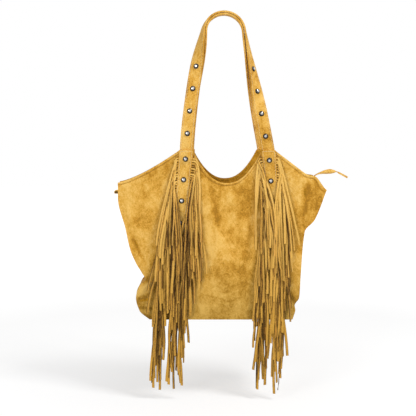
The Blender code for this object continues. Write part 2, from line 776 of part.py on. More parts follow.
def end_tab(name, side):
    """The leather tab folded over the two tapes at an end of the zip."""
    top = ZIP_Z - FACING_THICK - GAP
    wide = FACING_EDGE + TAPE_LAP
    x = -ZIP_LEFT if side < 0 else ZIP_RIGHT
    rise = TEETH_RISE + GAP
    section = [(GAP, rise), (GAP, -TAPE_THICK - rise), (-END_TAB_LENGTH, -TAPE_THICK - rise),
               (-END_TAB_LENGTH, -TAPE_THICK - rise - END_TAB_THICK),
               (GAP + END_TAB_THICK, -TAPE_THICK - rise - END_TAB_THICK),
               (GAP + END_TAB_THICK, rise + END_TAB_THICK), (-END_TAB_LENGTH, rise + END_TAB_THICK),
               (-END_TAB_LENGTH, rise)]
    loops = [[(x + side * a, y, top + b) for a, b in section] for y in (-wide, wide)]
    suede(name, tube(loops))


def pivot():
    """Axis of the pull tab on the slider."""
    top = ZIP_Z - FACING_THICK - GAP + TEETH_RISE + GAP + SLIDER_PLATE
    return Vector((SLIDER_REST, 0, top + CROWN_CLEAR / 2))


def slider():
    """Two plates joined between the rows of teeth, with the crown that holds the tab."""
    top = ZIP_Z - FACING_THICK - GAP + TEETH_RISE + GAP
    floor = ZIP_Z - FACING_THICK - GAP - TAPE_THICK - TEETH_RISE - GAP
    x0, x1 = SLIDER_REST - SLIDER_LENGTH / 2, SLIDER_REST + SLIDER_LENGTH / 2
    half = SLIDER_WIDTH / 2
    crown = top + SLIDER_PLATE + CROWN_CLEAR
    leg = CROWN_THICK + 0.6
    bm = bmesh.new()
    box(bm, (x0, -half, top), (x1, half, top + SLIDER_PLATE))
    body = finish("zip_slider", bm, METAL, 0.35, 1.0)
    adds = []
    for low, high in (
        ((x0, -half, floor - SLIDER_PLATE), (x1, half, floor)),
        ((x1 - 1 - BRIDGE_LENGTH, -BRIDGE_WIDTH / 2, floor - 0.5), (x1 - 1, BRIDGE_WIDTH / 2, top + 0.5)),
        ((x0 + 1, -CROWN_WIDTH / 2, top + 0.5), (x0 + 1 + leg, CROWN_WIDTH / 2, crown + CROWN_THICK)),
        ((x1 - 1 - leg, -CROWN_WIDTH / 2, top + 0.5), (x1 - 1, CROWN_WIDTH / 2, crown + CROWN_THICK)),
        ((x0 + 1, -CROWN_WIDTH / 2, crown), (x1 - 1, CROWN_WIDTH / 2, crown + CROWN_THICK)),
    ):
        bm = bmesh.new()
        box(bm, low, high)
        adds.append(bm)
    join(body, adds)
    return body


def join(body, meshes):
    """Unite helper solids with a body."""
    for index, bm in enumerate(meshes):
        helper = finish(f"helper_{body.name}_{index}", bm, METAL, 0.35, 1.0)
        helper.hide_render = True
        helper.display_type = "WIRE"
        union = body.modifiers.new(f"union_{index}", "BOOLEAN")
        union.operation = "UNION"
        union.object = helper


def pull_tab():
    """A metal loop whose round bar turns in the slider's crown."""
    centre = pivot()
    turn = math.radians(TAB_TILT)
    ahead, up = Vector((math.cos(turn), 0, math.sin(turn))), Vector((-math.sin(turn), 0, math.cos(turn)))
    side = Vector((0, 1, 0))
    outer, inner = TAB_WIDTH / 2 + TAB_ARM / 2, TAB_WIDTH / 2 - TAB_ARM / 2

    def ring(along, reach, wide):
        """Octagonal section of the wire, mitred in its plane."""
        return [centre + ahead * (along + wide[0] * TAB_BAR * math.cos(a))
                + side * (reach + wide[1] * TAB_BAR * math.cos(a)) + up * TAB_BAR * math.sin(a)
                for a in (2 * math.pi * k / 8 for k in range(8))]

    mid = (outer + inner) / 2
    far = TAB_LENGTH
    corners = [ring(0, -mid, (-1, -1)), ring(far, -mid, (1, -1)), ring(far, mid, (1, 1)), ring(0, mid, (-1, 1))]
    bm = bmesh.new()
    rings = [[bm.verts.new(p) for p in corner] for corner in corners]
    for low, high in zip(rings, rings[1:] + rings[:1]):
        for j in range(8):
            k = (j + 1) % 8
            bm.faces.new((low[j], low[k], high[k], high[j]))
    return finish("zip_pull_tab", bm, METAL, 0.35, 1.0, 50)


def pull_thong():
    """The suede thong looped through the tab: a folded leaf, a neck and a flat tail."""
    turn = math.radians(TAB_TILT)
    start = pivot() + Vector((math.cos(turn), 0, math.sin(turn))) * (TAB_LENGTH + TAB_BAR + GAP)
    leaf, tail = PULL_LEAF, PULL_WIDTH
    stations = (  # share of the reach, rise, height, depth
        (0.0, 0.0, PULL_THICK, tail), (0.09, 8.0, PULL_THICK, tail), (0.20, 15.0, PULL_THICK, 0.7 * tail),
        (0.32, 18.5, leaf / 2, 0.8 * tail), (0.44, 20.5, 0.88 * leaf, tail), (0.56, 21.5, leaf, tail),
        (0.65, 21.4, 0.7 * leaf, 0.9 * tail), (0.72, 20.8, PULL_THICK, PULL_THICK),
        (0.78, 18.5, tail, PULL_THICK), (1.0, 9.0, tail, PULL_THICK))
    middles = [start + Vector((PULL_REACH * a, 0, b)) for a, b, _, _ in stations]
    loops = []
    for i, ((_, _, tall, deep), middle) in enumerate(zip(stations, middles)):
        along = (middles[min(i + 1, len(middles) - 1)] - middles[max(i - 1, 0)]).normalized()
        up = Vector((-along.z, 0, along.x)) * tall / 2
        across = Vector((0, deep / 2, 0))
        loops.append([middle - across - up, middle + across - up, middle + across + up, middle - across + up])
    return suede("zip_pull_thong", tube(loops))


def main():
    for leftover in list(bpy.data.objects):
        bpy.data.objects.remove(leftover, do_unlink=True)
    panel("front_panel", front_y, SCOOP_FRONT, 1)
    panel("back_panel", rear_y, SCOOP_REAR, -1, SUEDE_DARK)
    gusset("gusset_left", -1)
    gusset("gusset_right", 1)
    base_plate("base_panel", 0, BASE_Z, BASE_WALL, SUEDE)
    base_plate("base_board", BOARD_INSET, BASE_Z + BASE_WALL + GAP, BOARD_THICK, CANVAS)
    lining()
    strap("strap_front", strap_frame)
    strap("strap_rear", rear_frame)
    band("band_left", -1)
    band("band_right", 1)
    rear_tab("rear_tab_left", -1)
    rear_tab("rear_tab_right", 1)
    strap_studs()
    band_studs()
    for side, word in ((-1, "left"), (1, "right")):
        fringe(f"fringe_{word}_outer", side, side)
        fringe(f"fringe_{word}_inner", side, -side)
    facing("facing_front", -1)
    facing("facing_rear", 1)
    tape("zip_tape_front", -1)
    tape("zip_tape_rear", 1)
    end_tab("zip_end_left", -1)
    end_tab("zip_end_right", 1)
    slider()
    pull_tab()
    pull_thong()


main()
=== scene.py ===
"""Fringed suede shoulder bag: its visible pieces, their finishes, the light and the camera.

Sizes below are in millimetres unless a name or comment says otherwise; finished meshes are in metres.
"""

import math
import random

import bmesh
import bpy
from mathutils import Matrix, Vector, noise


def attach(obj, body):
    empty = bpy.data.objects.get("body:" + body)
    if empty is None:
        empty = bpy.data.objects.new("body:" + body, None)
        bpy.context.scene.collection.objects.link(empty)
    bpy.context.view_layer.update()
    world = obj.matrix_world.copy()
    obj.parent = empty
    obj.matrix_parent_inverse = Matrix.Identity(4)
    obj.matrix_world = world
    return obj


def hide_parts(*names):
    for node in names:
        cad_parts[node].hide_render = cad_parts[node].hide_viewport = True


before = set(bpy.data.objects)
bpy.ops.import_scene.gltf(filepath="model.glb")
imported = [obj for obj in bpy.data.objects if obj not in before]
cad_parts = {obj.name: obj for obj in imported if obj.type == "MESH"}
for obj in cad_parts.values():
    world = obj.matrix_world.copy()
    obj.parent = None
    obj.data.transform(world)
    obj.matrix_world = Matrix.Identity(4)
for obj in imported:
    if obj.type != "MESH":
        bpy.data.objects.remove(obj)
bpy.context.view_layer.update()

bl_info = {
    "name": "Fringed Suede Bag",
    "version": (1, 0, 0),
    "blender": (4, 5, 0),
    "location": "3D View > Sidebar > Suede Bag",
    "description": "Builds a suede shoulder bag with nested straps, domed studs and long fringe",
    "category": "Add Mesh",
}

MM = 0.001

# Body
STRAP_DROP = 270.0
BODY_HEIGHT = 340.0
WALL = 1.8
SIDES = ((-1, "left"), (1, "right"))
HALF_TOP = 22.0
HALF_BASE = 58.0
FLARE_EASE = 0.12
FLARE_TOP = 30.0  # the flare starts this far above the zip
LEFT_CORNER = 215.0
RIGHT_CORNER = 208.5
LEFT_CORNER_DROP = 66.0
RIGHT_CORNER_DROP = 81.0
LEFT_WAIST = 166.0
RIGHT_WAIST = 155.5
LEFT_BULGE = 178.0
RIGHT_BULGE = 152.0
LEFT_BASE = 150.0
RIGHT_BASE = 138.0
WAIST_RISE = 88.0
RIGHT_ARM = 164.0
SHOULDER_LEFT = 30.0
SHOULDER_RIGHT = 84.0
LEFT_PINCH = 9.0
LEFT_PINCH_RISE = 79.0
RIGHT_PINCH = 6.0
RIGHT_PINCH_RISE = 29.0
PINCH_WIDTH = 8.0
BULGE_RISE = 42.0
PEAK_LEFT = 76.0
PEAK_RIGHT = 89.0
PEAK = {-1: PEAK_LEFT, 1: PEAK_RIGHT}
PEAK_HALF = 13.0
SCOOP_FRONT = 67.0
SCOOP_REAR = 59.5
REAR_NARROW = 8.0
SCOOP_POWER = 2.2
LEFT_WING_POWER = 1.35
WING_FOLD_RISE = 12.0
WING_FOLD_INSET = 20.0
WING_FOLD_WIDTH = 13.0
SIDE_EASE = 0.10
DRAPE = 2.4
DRAPE_PITCH = 62.0
HEM_ROW = 5.2  # stitched groove below the hem's edge
PANEL_GRID = (180, 130)
HEM_ROWS, HEM_SHARE = 0.84, 0.955  # a panel's rows crowd above this share of them
GAP = 0.35
SOFT_GAP = 0.5
TURN_GAP = 0.8

# Sides, base and lining
GUSSET_WALL = 1.6
SEAM = 3.0
GUSSET_TOP_DROP = 12.0
GUSSET_FOLD = 34.0
GUSSET_SWELL = 5.0
SIDE_CREASE = 62.0  # above the base
BASE_WALL = 2.0
BOARD_THICK = 2.4
LINING_INSET = 5.6
LINING_SIDE_DROP = 9.0

# Straps and bands
STRAP_WIDTH = 26.0
STRAP_THICK = 4.1
LOOP_RADIUS = 36.5
LOOP_FACET = 0.10
BOW = {-1: 1.4, 1: 1.0}
TWIST = {-1: (10.0, -150.0), 1: (0.0, -262.0)}
STRAP_PART = -50.0
STRAP_EASE = 1.3
STRAP_TUCK = 15.0
STRAP_STEPS = 320
STRAP_SKIN = 0.2  # the visible strap lies this far inside the solid, before its padding
EDGE_ROW = 2.6  # stitched row in from a strap's or band's edge
REAR_SHIFT = {-1: 2.0, 1: -6.0}
BAND_WIDTH_TOP = 29.0
BAND_WIDTH = 26.0
BAND_THICK = 1.6
BAND_BOTTOM_RISE = 18.0
LEFT_BAND_LEAN = 30.0
RIGHT_BAND_LEAN = 10.0
REAR_TAB_LENGTH = 62.0

# Studs
STUD_RADIUS = 5.5
STUD_RISE = 3.0
STUD_PITCH = 45.0
STRAP_STUDS = 4
FIRST_RISE = {-1: 33.0, 1: 27.5}  # a strap's lowest stud above the peaks, by side
FIRST_DROP = {-1: 18.0, 1: 20.5}  # a band's first stud below them
BAND_STUDS = (0.0, 42.0, 84.5, 129.0, 173.5, 211.0, 247.0, 283.5)

# Fringe
HEADER_THICK = 1.4
HEADER_DROP = 14.0
HEADER_FOOT = 4.0  # lower end of the fringe above the band's
FRINGE_SEED = 11
THONG_STEPS = 15
ROOT_JITTER = 0.8
SHARE_JITTER = 0.2
SHARE_SPAN = (-0.04, 1.05)  # shares of a lane that the thongs take, from near the band to far
HELD_ROOTS = (38, 92)  # below the peaks, where the right band's inner thongs keep near it
HELD_SHARE = 0.4
LENGTH_SPREAD = (-12, 2)
MOST_LIFT = 2.7
TIP_SPREAD, LOW_TIP_SPREAD = 3.0, 5.5
LOW_TIP_Z = -700
STRAY = 9
TURN_REACH = (4.5, 8.5)  # how far out of the band a thong turns down
INNER_REACH = {-1: 4.5, 1: 1.0}  # added near the peaks on the inner edges, by side

# Zip
ZIP_DROP = 84.0
ZIP_LEFT = 222.0
ZIP_RIGHT = 191.0
FACING_THICK = 1.4
FACING_EDGE = 8.0
FACING_END = 14.0
TAPE_THICK = 0.9
TAPE_LAP = 5.0
TEETH_GAP = 0.9
TEETH_WIDTH = 2.2
TEETH_RISE = 1.1
SLIDER_PLATE = 1.2
SLIDER_REST = 165.0
CROWN_CLEAR = 2.2
TAB_BAR = 0.8
TAB_LENGTH = 17.0
TAB_WIDTH = 6.4
TAB_TILT = 62.0
PULL_WIDTH = 3.8
PULL_LEAF = 9.6
PULL_REACH = 80.0
END_TAB_LENGTH = 12.0
END_TAB_THICK = 1.2

# Stage, in metres and degrees
FLOOR_Z = -0.772
FLOOR_RADIUS = 6.0
FLOOR_GLOW = 1.15
NEAR_GLOW = (0.2, 3.0, 0.14, 0.48)  # glow around the origin: start, rate, rise and least share
FAR_GLOW = (0.85, 1.2, 0.38)  # glow further out: start, rate and rise
SKY_LEVELS = (0.40, 1.0)  # strength as light, and as seen or mirrored
LAMPS = (  # name, place, target, size and power
    ("key", (-1.5, -2.4, 0.6), (0, 0, -0.35), 1.2, 30.5),
    ("top", (1.25, -0.85, 1.6), (0, 0, -0.5), 0.7, 37),
)
LENS, SENSOR = 78.0, 36.0  # in millimetres
CAMERA_TILT = 5.5
CAMERA_PLACE = (-0.0323, -1.8441, -0.2122)

PEAK_Z = -STRAP_DROP
BASE_Z = -STRAP_DROP - BODY_HEIGHT
ZIP_Z = PEAK_Z - ZIP_DROP
TAPE_Z = ZIP_Z - FACING_THICK - GAP
LAP = STRAP_THICK + GAP
LOOP_CENTRE = -LOOP_RADIUS * math.cos(LOOP_FACET)
FRONT_RADIUS = LOOP_RADIUS + LAP + STRAP_THICK / 2

# Panels: name, side, depth of the scoop and seed of the small swells
PANELS = (("front_panel", -1, SCOOP_FRONT, 0), ("back_panel", 1, SCOOP_REAR, 40))

# Folds in the front panel: (start, end, width, depth), seen from the front
FOLDS = (
    ((-181, -452), (-160, -498), 5.0, -1.6),
    ((-176, -566), (-150, -541), 7.0, 3.2),
    ((-178, -575), (-148, -570), 4.0, -2.4),
    ((-152, -530), (-118, -536), 5.0, -2.2),
    ((-5, -441), (17, -473), 1.8, -0.8),
    ((4, -440), (26, -470), 1.8, -0.7),
    ((-18, -420), (8, -452), 2.4, -0.7),
    ((166, -350), (160, -425), 7.0, -1.6),
    ((180, -345), (172, -410), 9.0, 1.2),
    ((28, -350), (52, -420), 12.0, -1.6),
    ((-30, -352), (-34, -400), 11.0, 1.0),
    ((-12, -556), (24, -563), 2.2, -0.6),
    ((10, -574), (48, -570), 2.2, -0.6),
    ((-196, -392), (-176, -448), 6.0, 1.2),
    ((118, -556), (150, -580), 5.0, -1.8),
    ((-27, -345), (-14, -413), 5.0, -1.3),
    ((-178, -560), (-150, -538), 4.0, 1.6),
    ((-176, -586), (-146, -588), 2.2, -1.4),
    ((-166, -602), (-146, -606), 4.0, -1.6),
)

# Painted shade and highlights along the front panel's folds and creases, with a few light scuff lines:
# (start, end, half width, amount lighter)
FOLD_SHADE_AND_SCUFFS = (
    ((-27, -340), (-14, -413), 6.5, -0.22), ((-14, -413), (-5, -437), 5.0, -0.20),
    ((-37, -372), (-24, -500), 7.0, 0.24), ((-9, -435), (12, -468), 1.3, 0.34),
    ((-3, -433), (21, -468), 1.3, 0.26), ((14, -446), (56, -484), 13.0, -0.20),
    ((-24, -519), (44, -548), 14.0, -0.26), ((-2, -421), (56, -412), 9.0, 0.16),
    ((-6, -372), (24, -384), 4.0, 0.16), ((-30, -336), (-14, -352), 2.0, 0.20),
    ((-44, -560), (10, -574), 1.6, -0.28), ((4, -548), (44, -536), 1.6, -0.22),
    ((-10, -566), (30, -552), 1.4, 0.22), ((-30, -540), (-4, -548), 1.4, -0.20),
    ((14, -574), (34, -566), 1.6, -0.30), ((-186, -452), (-160, -500), 3.0, -0.26),
    ((-178, -452), (-152, -498), 3.0, 0.20), ((-176, -560), (-150, -538), 4.0, 0.30),
    ((-176, -568), (-150, -562), 4.0, -0.46), ((-172, -541), (-156, -533), 6.0, -0.24),
    ((-172, -587), (-146, -588), 1.8, -0.34), ((-164, -603), (-146, -607), 4.0, -0.34),
    ((-168, -594), (-148, -596), 3.0, 0.16), ((172, -334), (166, -396), 3.0, -0.20),
    ((158, -330), (150, -400), 3.5, 0.16), ((184, -420), (170, -440), 3.0, -0.22),
    ((128, -560), (152, -584), 3.0, -0.30),
)

# Patches on the front panel, partly the suede's own mottling and partly painted light and shade on the wings
# and folds: (x, z, half width, half height, amount lighter)
MOTTLE_AND_SHADE_PATCHES = (
    (-150, -352, 15, 34, -0.16), (-164, -396, 14, 26, -0.12), (-192, -360, 22, 44, 0.22),
    (-130, -440, 16, 26, 0.12), (-180, -440, 12, 22, -0.12), (30, -364, 22, 20, -0.26),
    (40, -404, 15, 24, -0.22), (-22, -352, 16, 14, -0.14), (-20, -455, 18, 26, 0.16),
    (-6, -400, 16, 20, 0.12), (24, -500, 26, 20, -0.16), (184, -374, 15, 30, -0.36),
    (148, -404, 12, 30, -0.12), (140, -350, 14, 26, 0.08), (14, -560, 40, 14, -0.10),
    (-158, -385, 42, 70, 0.20), (146, -385, 28, 50, 0.16),
)

# Where the thongs' tips hang: (tip's height, furthest out, furthest over the band), by band and edge
LANES = {
    (-1, -1): ((-455, -132, -98), (-505, -144, -97), (-528, -148, -84), (-572, -149, -92),
               (-640, -147, -119), (-700, -145, -123), (-760, -145, -125)),
    (-1, 1): ((-455, -40, -72), (-490, -38, -77), (-524, -41, -88), (-558, -53, -104), (-590, -61, -105),
              (-620, -66, -106), (-682, -81, -109), (-760, -91, -111)),
    (1, 1): ((-455, 144, 98), (-490, 138, 95), (-572, 136, 93), (-640, 127, 93), (-700, 119, 95),
             (-760, 112, 97)),
    (1, -1): ((-455, 56, 96), (-478, 57, 103), (-492, 58, 112), (-522, 59, 114), (-580, 61, 104),
              (-640, 61, 95), (-700, 62, 90), (-760, 63, 86)),
}


# Curves

def clamp(t):
    return min(1.0, max(0.0, t))


def smooth(t):
    t = clamp(t)
    return t * t * (3 - 2 * t)


def bell(t):
    return math.exp(-(t ** 2))


def mix(a, b, t):
    return a + (b - a) * t


def through(stations, s):
    """A monotone curve through (s, value) stations."""
    if s <= stations[0][0]:
        return stations[0][1]
    slopes = [(b[1] - a[1]) / (b[0] - a[0]) for a, b in zip(stations, stations[1:])]
    ends = [slopes[0]] + [
        0.0 if a * b <= 0 else 2 * a * b / (a + b) for a, b in zip(slopes, slopes[1:])
    ] + [slopes[-1]]
    for i, (a, b) in enumerate(zip(stations, stations[1:])):
        if s <= b[0]:
            width = b[0] - a[0]
            t = (s - a[0]) / width
            return (
                (2 * t ** 3 - 3 * t ** 2 + 1) * a[1]
                + (t ** 3 - 2 * t ** 2 + t) * width * ends[i]
                + (3 * t ** 2 - 2 * t ** 3) * b[1]
                + (t ** 3 - t ** 2) * width * ends[i + 1]
            )
    return stations[-1][1]


def left_x(z):
    """Left side seam at a height."""
    corner = PEAK_Z - LEFT_CORNER_DROP
    waist = BASE_Z + WAIST_RISE
    pinch = LEFT_PINCH * bell((z - BASE_Z - LEFT_PINCH_RISE) / PINCH_WIDTH)
    return pinch - through((
        (BASE_Z, LEFT_BASE), (BASE_Z + BULGE_RISE / 2.6, mix(LEFT_BASE, LEFT_BULGE, 0.72)),
        (BASE_Z + BULGE_RISE, LEFT_BULGE), (waist, LEFT_WAIST),
        (mix(waist, corner, 0.12), mix(LEFT_WAIST, LEFT_CORNER, 0.24)),
        (mix(waist, corner, 0.27), mix(LEFT_WAIST, LEFT_CORNER, 0.49)),
        (mix(waist, corner, 0.5), mix(LEFT_WAIST, LEFT_CORNER, 0.69)),
        (corner - SHOULDER_LEFT, LEFT_CORNER), (corner, LEFT_CORNER)), z)


def right_x(z):
    """Right side seam at a height."""
    corner = PEAK_Z - RIGHT_CORNER_DROP
    pinch = RIGHT_PINCH * bell((z - BASE_Z - RIGHT_PINCH_RISE) / PINCH_WIDTH)
    return through((
        (BASE_Z, RIGHT_BASE), (BASE_Z + BULGE_RISE, RIGHT_BULGE),
        (BASE_Z + WAIST_RISE, RIGHT_WAIST), (corner - SHOULDER_RIGHT, RIGHT_ARM),
        (corner - 0.72 * SHOULDER_RIGHT, mix(RIGHT_ARM, RIGHT_CORNER, 0.45)),
        (corner, RIGHT_CORNER)), z) - pinch


def top_z(x, scoop):
    """Upper edge of a panel at x."""
    low, high = -PEAK_LEFT + PEAK_HALF, PEAK_RIGHT - PEAK_HALF
    if scoop == SCOOP_REAR:
        high -= REAR_NARROW
    if low < x < high:
        t = abs(2 * (x - low) / (high - low) - 1)
        return PEAK_Z - scoop * (1 - t ** SCOOP_POWER)
    if x <= low:
        out = -PEAK_LEFT - PEAK_HALF
        t = clamp((out - x) / (LEFT_CORNER + out))
        return PEAK_Z - LEFT_CORNER_DROP * (1 - (1 - t) ** LEFT_WING_POWER)
    out = PEAK_RIGHT + PEAK_HALF
    t = clamp((x - out) / (RIGHT_CORNER - out))
    fold = bell((x - RIGHT_CORNER + WING_FOLD_INSET) / WING_FOLD_WIDTH)
    return PEAK_Z - RIGHT_CORNER_DROP * t + WING_FOLD_RISE * fold * (1 - t ** 8)


def outline_point(u, v, x_top, scoop):
    """Panel point at share u across and v up, whose column ends at x_top."""
    z = mix(BASE_Z, top_z(x_top, scoop), v)
    left, right = PEAK_Z - LEFT_CORNER_DROP, PEAK_Z - RIGHT_CORNER_DROP
    x = mix(mix(-LEFT_BASE, RIGHT_BASE, u), x_top, v)
    x += (1 - u) * (left_x(mix(BASE_Z, left, v)) - mix(-LEFT_BASE, -LEFT_CORNER, v))
    x += u * (right_x(mix(BASE_Z, right, v)) - mix(RIGHT_BASE, RIGHT_CORNER, v))
    return x, z


def band_x(side, z):
    """Middle line of the stitched band on the left (-1) or right (+1)."""
    t = (PEAK_Z - z) / (BODY_HEIGHT - BAND_BOTTOM_RISE)
    if side < 0:
        return -PEAK_LEFT - LEFT_BAND_LEAN * t
    return PEAK_RIGHT + RIGHT_BAND_LEAN * clamp(1 - (1 - t) ** 4)


def half_depth(x, z):
    """Half depth of the bag at a point of the panels, before the drape."""
    t = clamp((ZIP_Z + FLARE_TOP - z) / (ZIP_Z + FLARE_TOP - BASE_Z))
    ease = t * t * (1 + FLARE_EASE) / (t + FLARE_EASE)
    half = HALF_TOP + (HALF_BASE - HALF_TOP) * (0.55 * ease + 0.45 * t * t)
    reach = LEFT_WAIST if x < 0 else RIGHT_WAIST
    edge = smooth((abs(x) / reach - 0.78) / 0.5)
    return half * (1 - SIDE_EASE * edge * smooth((t - 0.1) / 0.5))


def inner_reach(x, z):
    """Half depth inside the panels, with a soft gap."""
    return half_depth(x, z) - WALL - SOFT_GAP


def drape(x, z):
    """Soft vertical waves, calm where something is sewn on."""
    calm = 1.0
    for side in (-1, 1):
        calm *= smooth((abs(x - band_x(side, z)) - 48) / 22)
    calm *= smooth((abs(z - ZIP_Z) - 14) / 40) * smooth((z - BASE_Z - 12) / 50)
    calm *= smooth((x - left_x(z) - 20) / 26) * smooth((right_x(z) - x - 20) / 26)
    wave = math.sin(2 * math.pi * (x + 0.22 * z) / DRAPE_PITCH)
    roll = math.sin(2 * math.pi * (0.6 * x - z) / (2.4 * DRAPE_PITCH))
    return DRAPE * calm * (0.7 * wave + 0.6 * roll)


def sewn_on(x, z):
    """0 under a band, 1 well away from both."""
    return min(smooth((abs(x - band_x(side, z)) - 15) / 16) for side in (-1, 1))


def rumple(x, z, seed):
    """Small uneven swells of soft leather."""
    return (1.3 * noise.noise(Vector((x / 46, z / 60, seed)))
            + 0.5 * noise.noise(Vector((x / 17, z / 22, seed + 5))))


def lines_near(lines, x, z):
    """Sum of soft lines at a place: each line has its start, end, half width and amount."""
    total = 0.0
    here = Vector((x, z))
    for start, end, width, amount in lines:
        a, b = Vector(start), Vector(end)
        run = b - a
        t = clamp((here - a).dot(run) / run.length_squared)
        away = (here - a - run * t).length / width
        if away < 3:
            total += amount * bell(away)
    return total


def leg_slope(side):
    return (PEAK[side] - FRONT_RADIUS) * BOW[side] / (STRAP_DROP + LOOP_CENTRE)


def leg_line(side, s):
    """Middle, outward direction and parting share of the front strap, before it is set square."""
    turn = math.atan2(1, leg_slope(side))
    angle = turn * min(s, 1.0)
    x, z = FRONT_RADIUS * math.sin(angle), LOOP_CENTRE + FRONT_RADIUS * math.cos(angle)
    outward = Vector((side * math.sin(angle), 0, math.cos(angle)))
    if s > 1:
        x0, z0 = x, z
        z = mix(z0, PEAK_Z - STRAP_TUCK, s - 1)
        x = x0 + (PEAK[side] - x0) * (1 - (1 - min(1.0, (z0 - z) / (z0 - PEAK_Z))) ** BOW[side])
    top, bottom = TWIST[side]
    twist = math.pi / 2 * smooth((top - z) / (top - bottom))
    part = smooth((STRAP_PART - z) / (STRAP_PART - PEAK_Z))
    y = -(HALF_TOP + SOFT_GAP + STRAP_THICK / 2) * part
    normal = outward * math.cos(twist) + Vector((0, -1, 0)) * math.sin(twist)
    return Vector((side * x, y, z)), normal, part


def rear_line(side, s):
    """The rear strap's line: nested in the front one, then parting from it to the rear panel."""
    middle, normal, part = leg_line(side, s)
    apart = 2 * (HALF_TOP + SOFT_GAP + STRAP_THICK / 2) - LAP
    lap = LAP + STRAP_EASE * smooth((LOOP_CENTRE / 2 - middle.z) / 40) * (1 - part)
    return middle - normal * lap + Vector((REAR_SHIFT[side], apart, 0)) * part, normal, part


def square(line, side, s):
    """Middle, outward normal and width direction of a strap, square to its run."""
    middle, normal, _ = line(side, s)
    along = (line(side, min(2.0, s + 0.01))[0] - line(side, max(0.0, s - 0.01))[0]).normalized()
    if s < 0.01:
        along = Vector((side, 0, 0))
    normal = (normal - along * normal.dot(along)).normalized()
    return middle, normal, along.cross(normal)


def leg_place(line, side, z):
    """Share along a strap at which its middle reaches a height."""
    low, high = 1.0, 2.0
    for _ in range(40):
        middle = (low + high) / 2
        if line(side, middle)[0].z > z:
            low = middle
        else:
            high = middle
    return (low + high) / 2


def band_width(z):
    return mix(BAND_WIDTH, BAND_WIDTH_TOP, smooth((z - PEAK_Z + 60) / 60))


def band_offset(z):
    """Back of a band out from the panel: over the strap's end, then over the fringe's headers."""
    lap = STRAP_THICK + GAP + SOFT_GAP
    low = HEADER_THICK + GAP + SOFT_GAP
    return mix(low, lap, smooth((z - PEAK_Z + STRAP_TUCK + 14) / 12))


def gusset_fold(z, w, swell):
    """How far a gusset lies inward of the side seam, at share w across."""
    t = smooth((z - BASE_Z - WAIST_RISE / 2) / (ZIP_Z - BASE_Z - WAIST_RISE / 2))
    return (GUSSET_FOLD * t - swell * (1 - t)) * (1 - abs(w) ** 1.7)


def pivot():
    """Axis of the pull tab on the slider."""
    return Vector((SLIDER_REST, 0, TAPE_Z + TEETH_RISE + GAP + SLIDER_PLATE + CROWN_CLEAR / 2))


# Finishes

class Number:
    """A number, colour or vector in a material; sums with a number add Math nodes."""

    def __init__(self, finish, socket):
        self.finish = finish
        self.socket = socket

    def worked(self, operation, *values):
        return self.finish.node("ShaderNodeMath", {"operation": operation}, dict(enumerate(values)))

    def __add__(self, other):
        return self.worked("ADD", self, other)

    def __sub__(self, other):
        return self.worked("SUBTRACT", self, other)

    def __rsub__(self, other):
        return self.worked("SUBTRACT", other, self)

    def __mul__(self, other):
        return self.worked("MULTIPLY", self, other)

    __radd__ = __add__
    __rmul__ = __mul__

    def limited(self):
        return self.finish.node("ShaderNodeClamp", inputs={0: self})


class Nodes:
    """A node tree, with one method for any node."""

    def __init__(self, tree):
        self.tree = tree

    def put(self, socket, value):
        if isinstance(value, Number):
            self.tree.links.new(value.socket, socket)
        elif socket.type == "RGBA" and len(value) == 3:
            socket.default_value = (*value, 1)
        else:
            socket.default_value = value

    def node(self, kind, settings=None, inputs=None, output=0):
        """Any node, from its settings and the values or links of its sockets."""
        made = self.tree.nodes.new(kind)
        for key, value in (settings or {}).items():
            if key == "stops":
                while len(made.color_ramp.elements) < len(value):
                    made.color_ramp.elements.new(1)
                for element, (position, colour) in zip(made.color_ramp.elements, value):
                    element.position, element.color = position, (*colour, 1)
            else:
                setattr(made, key, value)
        for key, value in (inputs or {}).items():
            self.put(made.inputs[key], value)
        return Number(self, made.outputs[output])


class Finish(Nodes):
    """A material whose shader holds the numbers given, with the nodes that vary it."""

    def __init__(self, name, **sockets):
        self.material = bpy.data.materials.new(name)
        self.material.use_nodes = True
        super().__init__(self.material.node_tree)
        self.shader = self.tree.nodes["Principled BSDF"]
        for key, value in sockets.items():
            self.shader.inputs[key.replace("_", " ")].default_value = value
        self.place = self.node("ShaderNodeTexCoord", output="Object")

    def grain(self, scale, detail=2.0, roughness=0.5, stretch=None, swirl=0.0):
        """Even noise about 0, at a scale in features per metre."""
        place = self.place
        if stretch:
            place = self.node("ShaderNodeMapping", inputs={"Vector": place, "Scale": stretch})
        made = self.node("ShaderNodeTexNoise", inputs={
            "Vector": place, "Scale": scale, "Detail": detail, "Roughness": roughness,
            "Distortion": swirl})
        return made - 0.5

    def blend(self, share, a, b):
        return self.node("ShaderNodeMix", {"data_type": "RGBA"}, {0: share, 6: a, 7: b}, 2)

    def written(self, name):
        """A number kept on the mesh; 0 where a piece has none."""
        return self.node("ShaderNodeAttribute", {"attribute_name": name}, output="Fac")

    def height(self):
        return self.node("ShaderNodeSeparateXYZ", inputs={0: self.place}, output="Z")

    def raise_by(self, height, strength, distance):
        self.put(self.shader.inputs["Normal"], self.node("ShaderNodeBump", inputs={
            "Height": height, "Strength": strength, "Distance": distance}, output="Normal"))

    def colour(self, value):
        self.put(self.shader.inputs["Base Color"], value)

    def rough(self, value):
        self.put(self.shader.inputs["Roughness"], value)


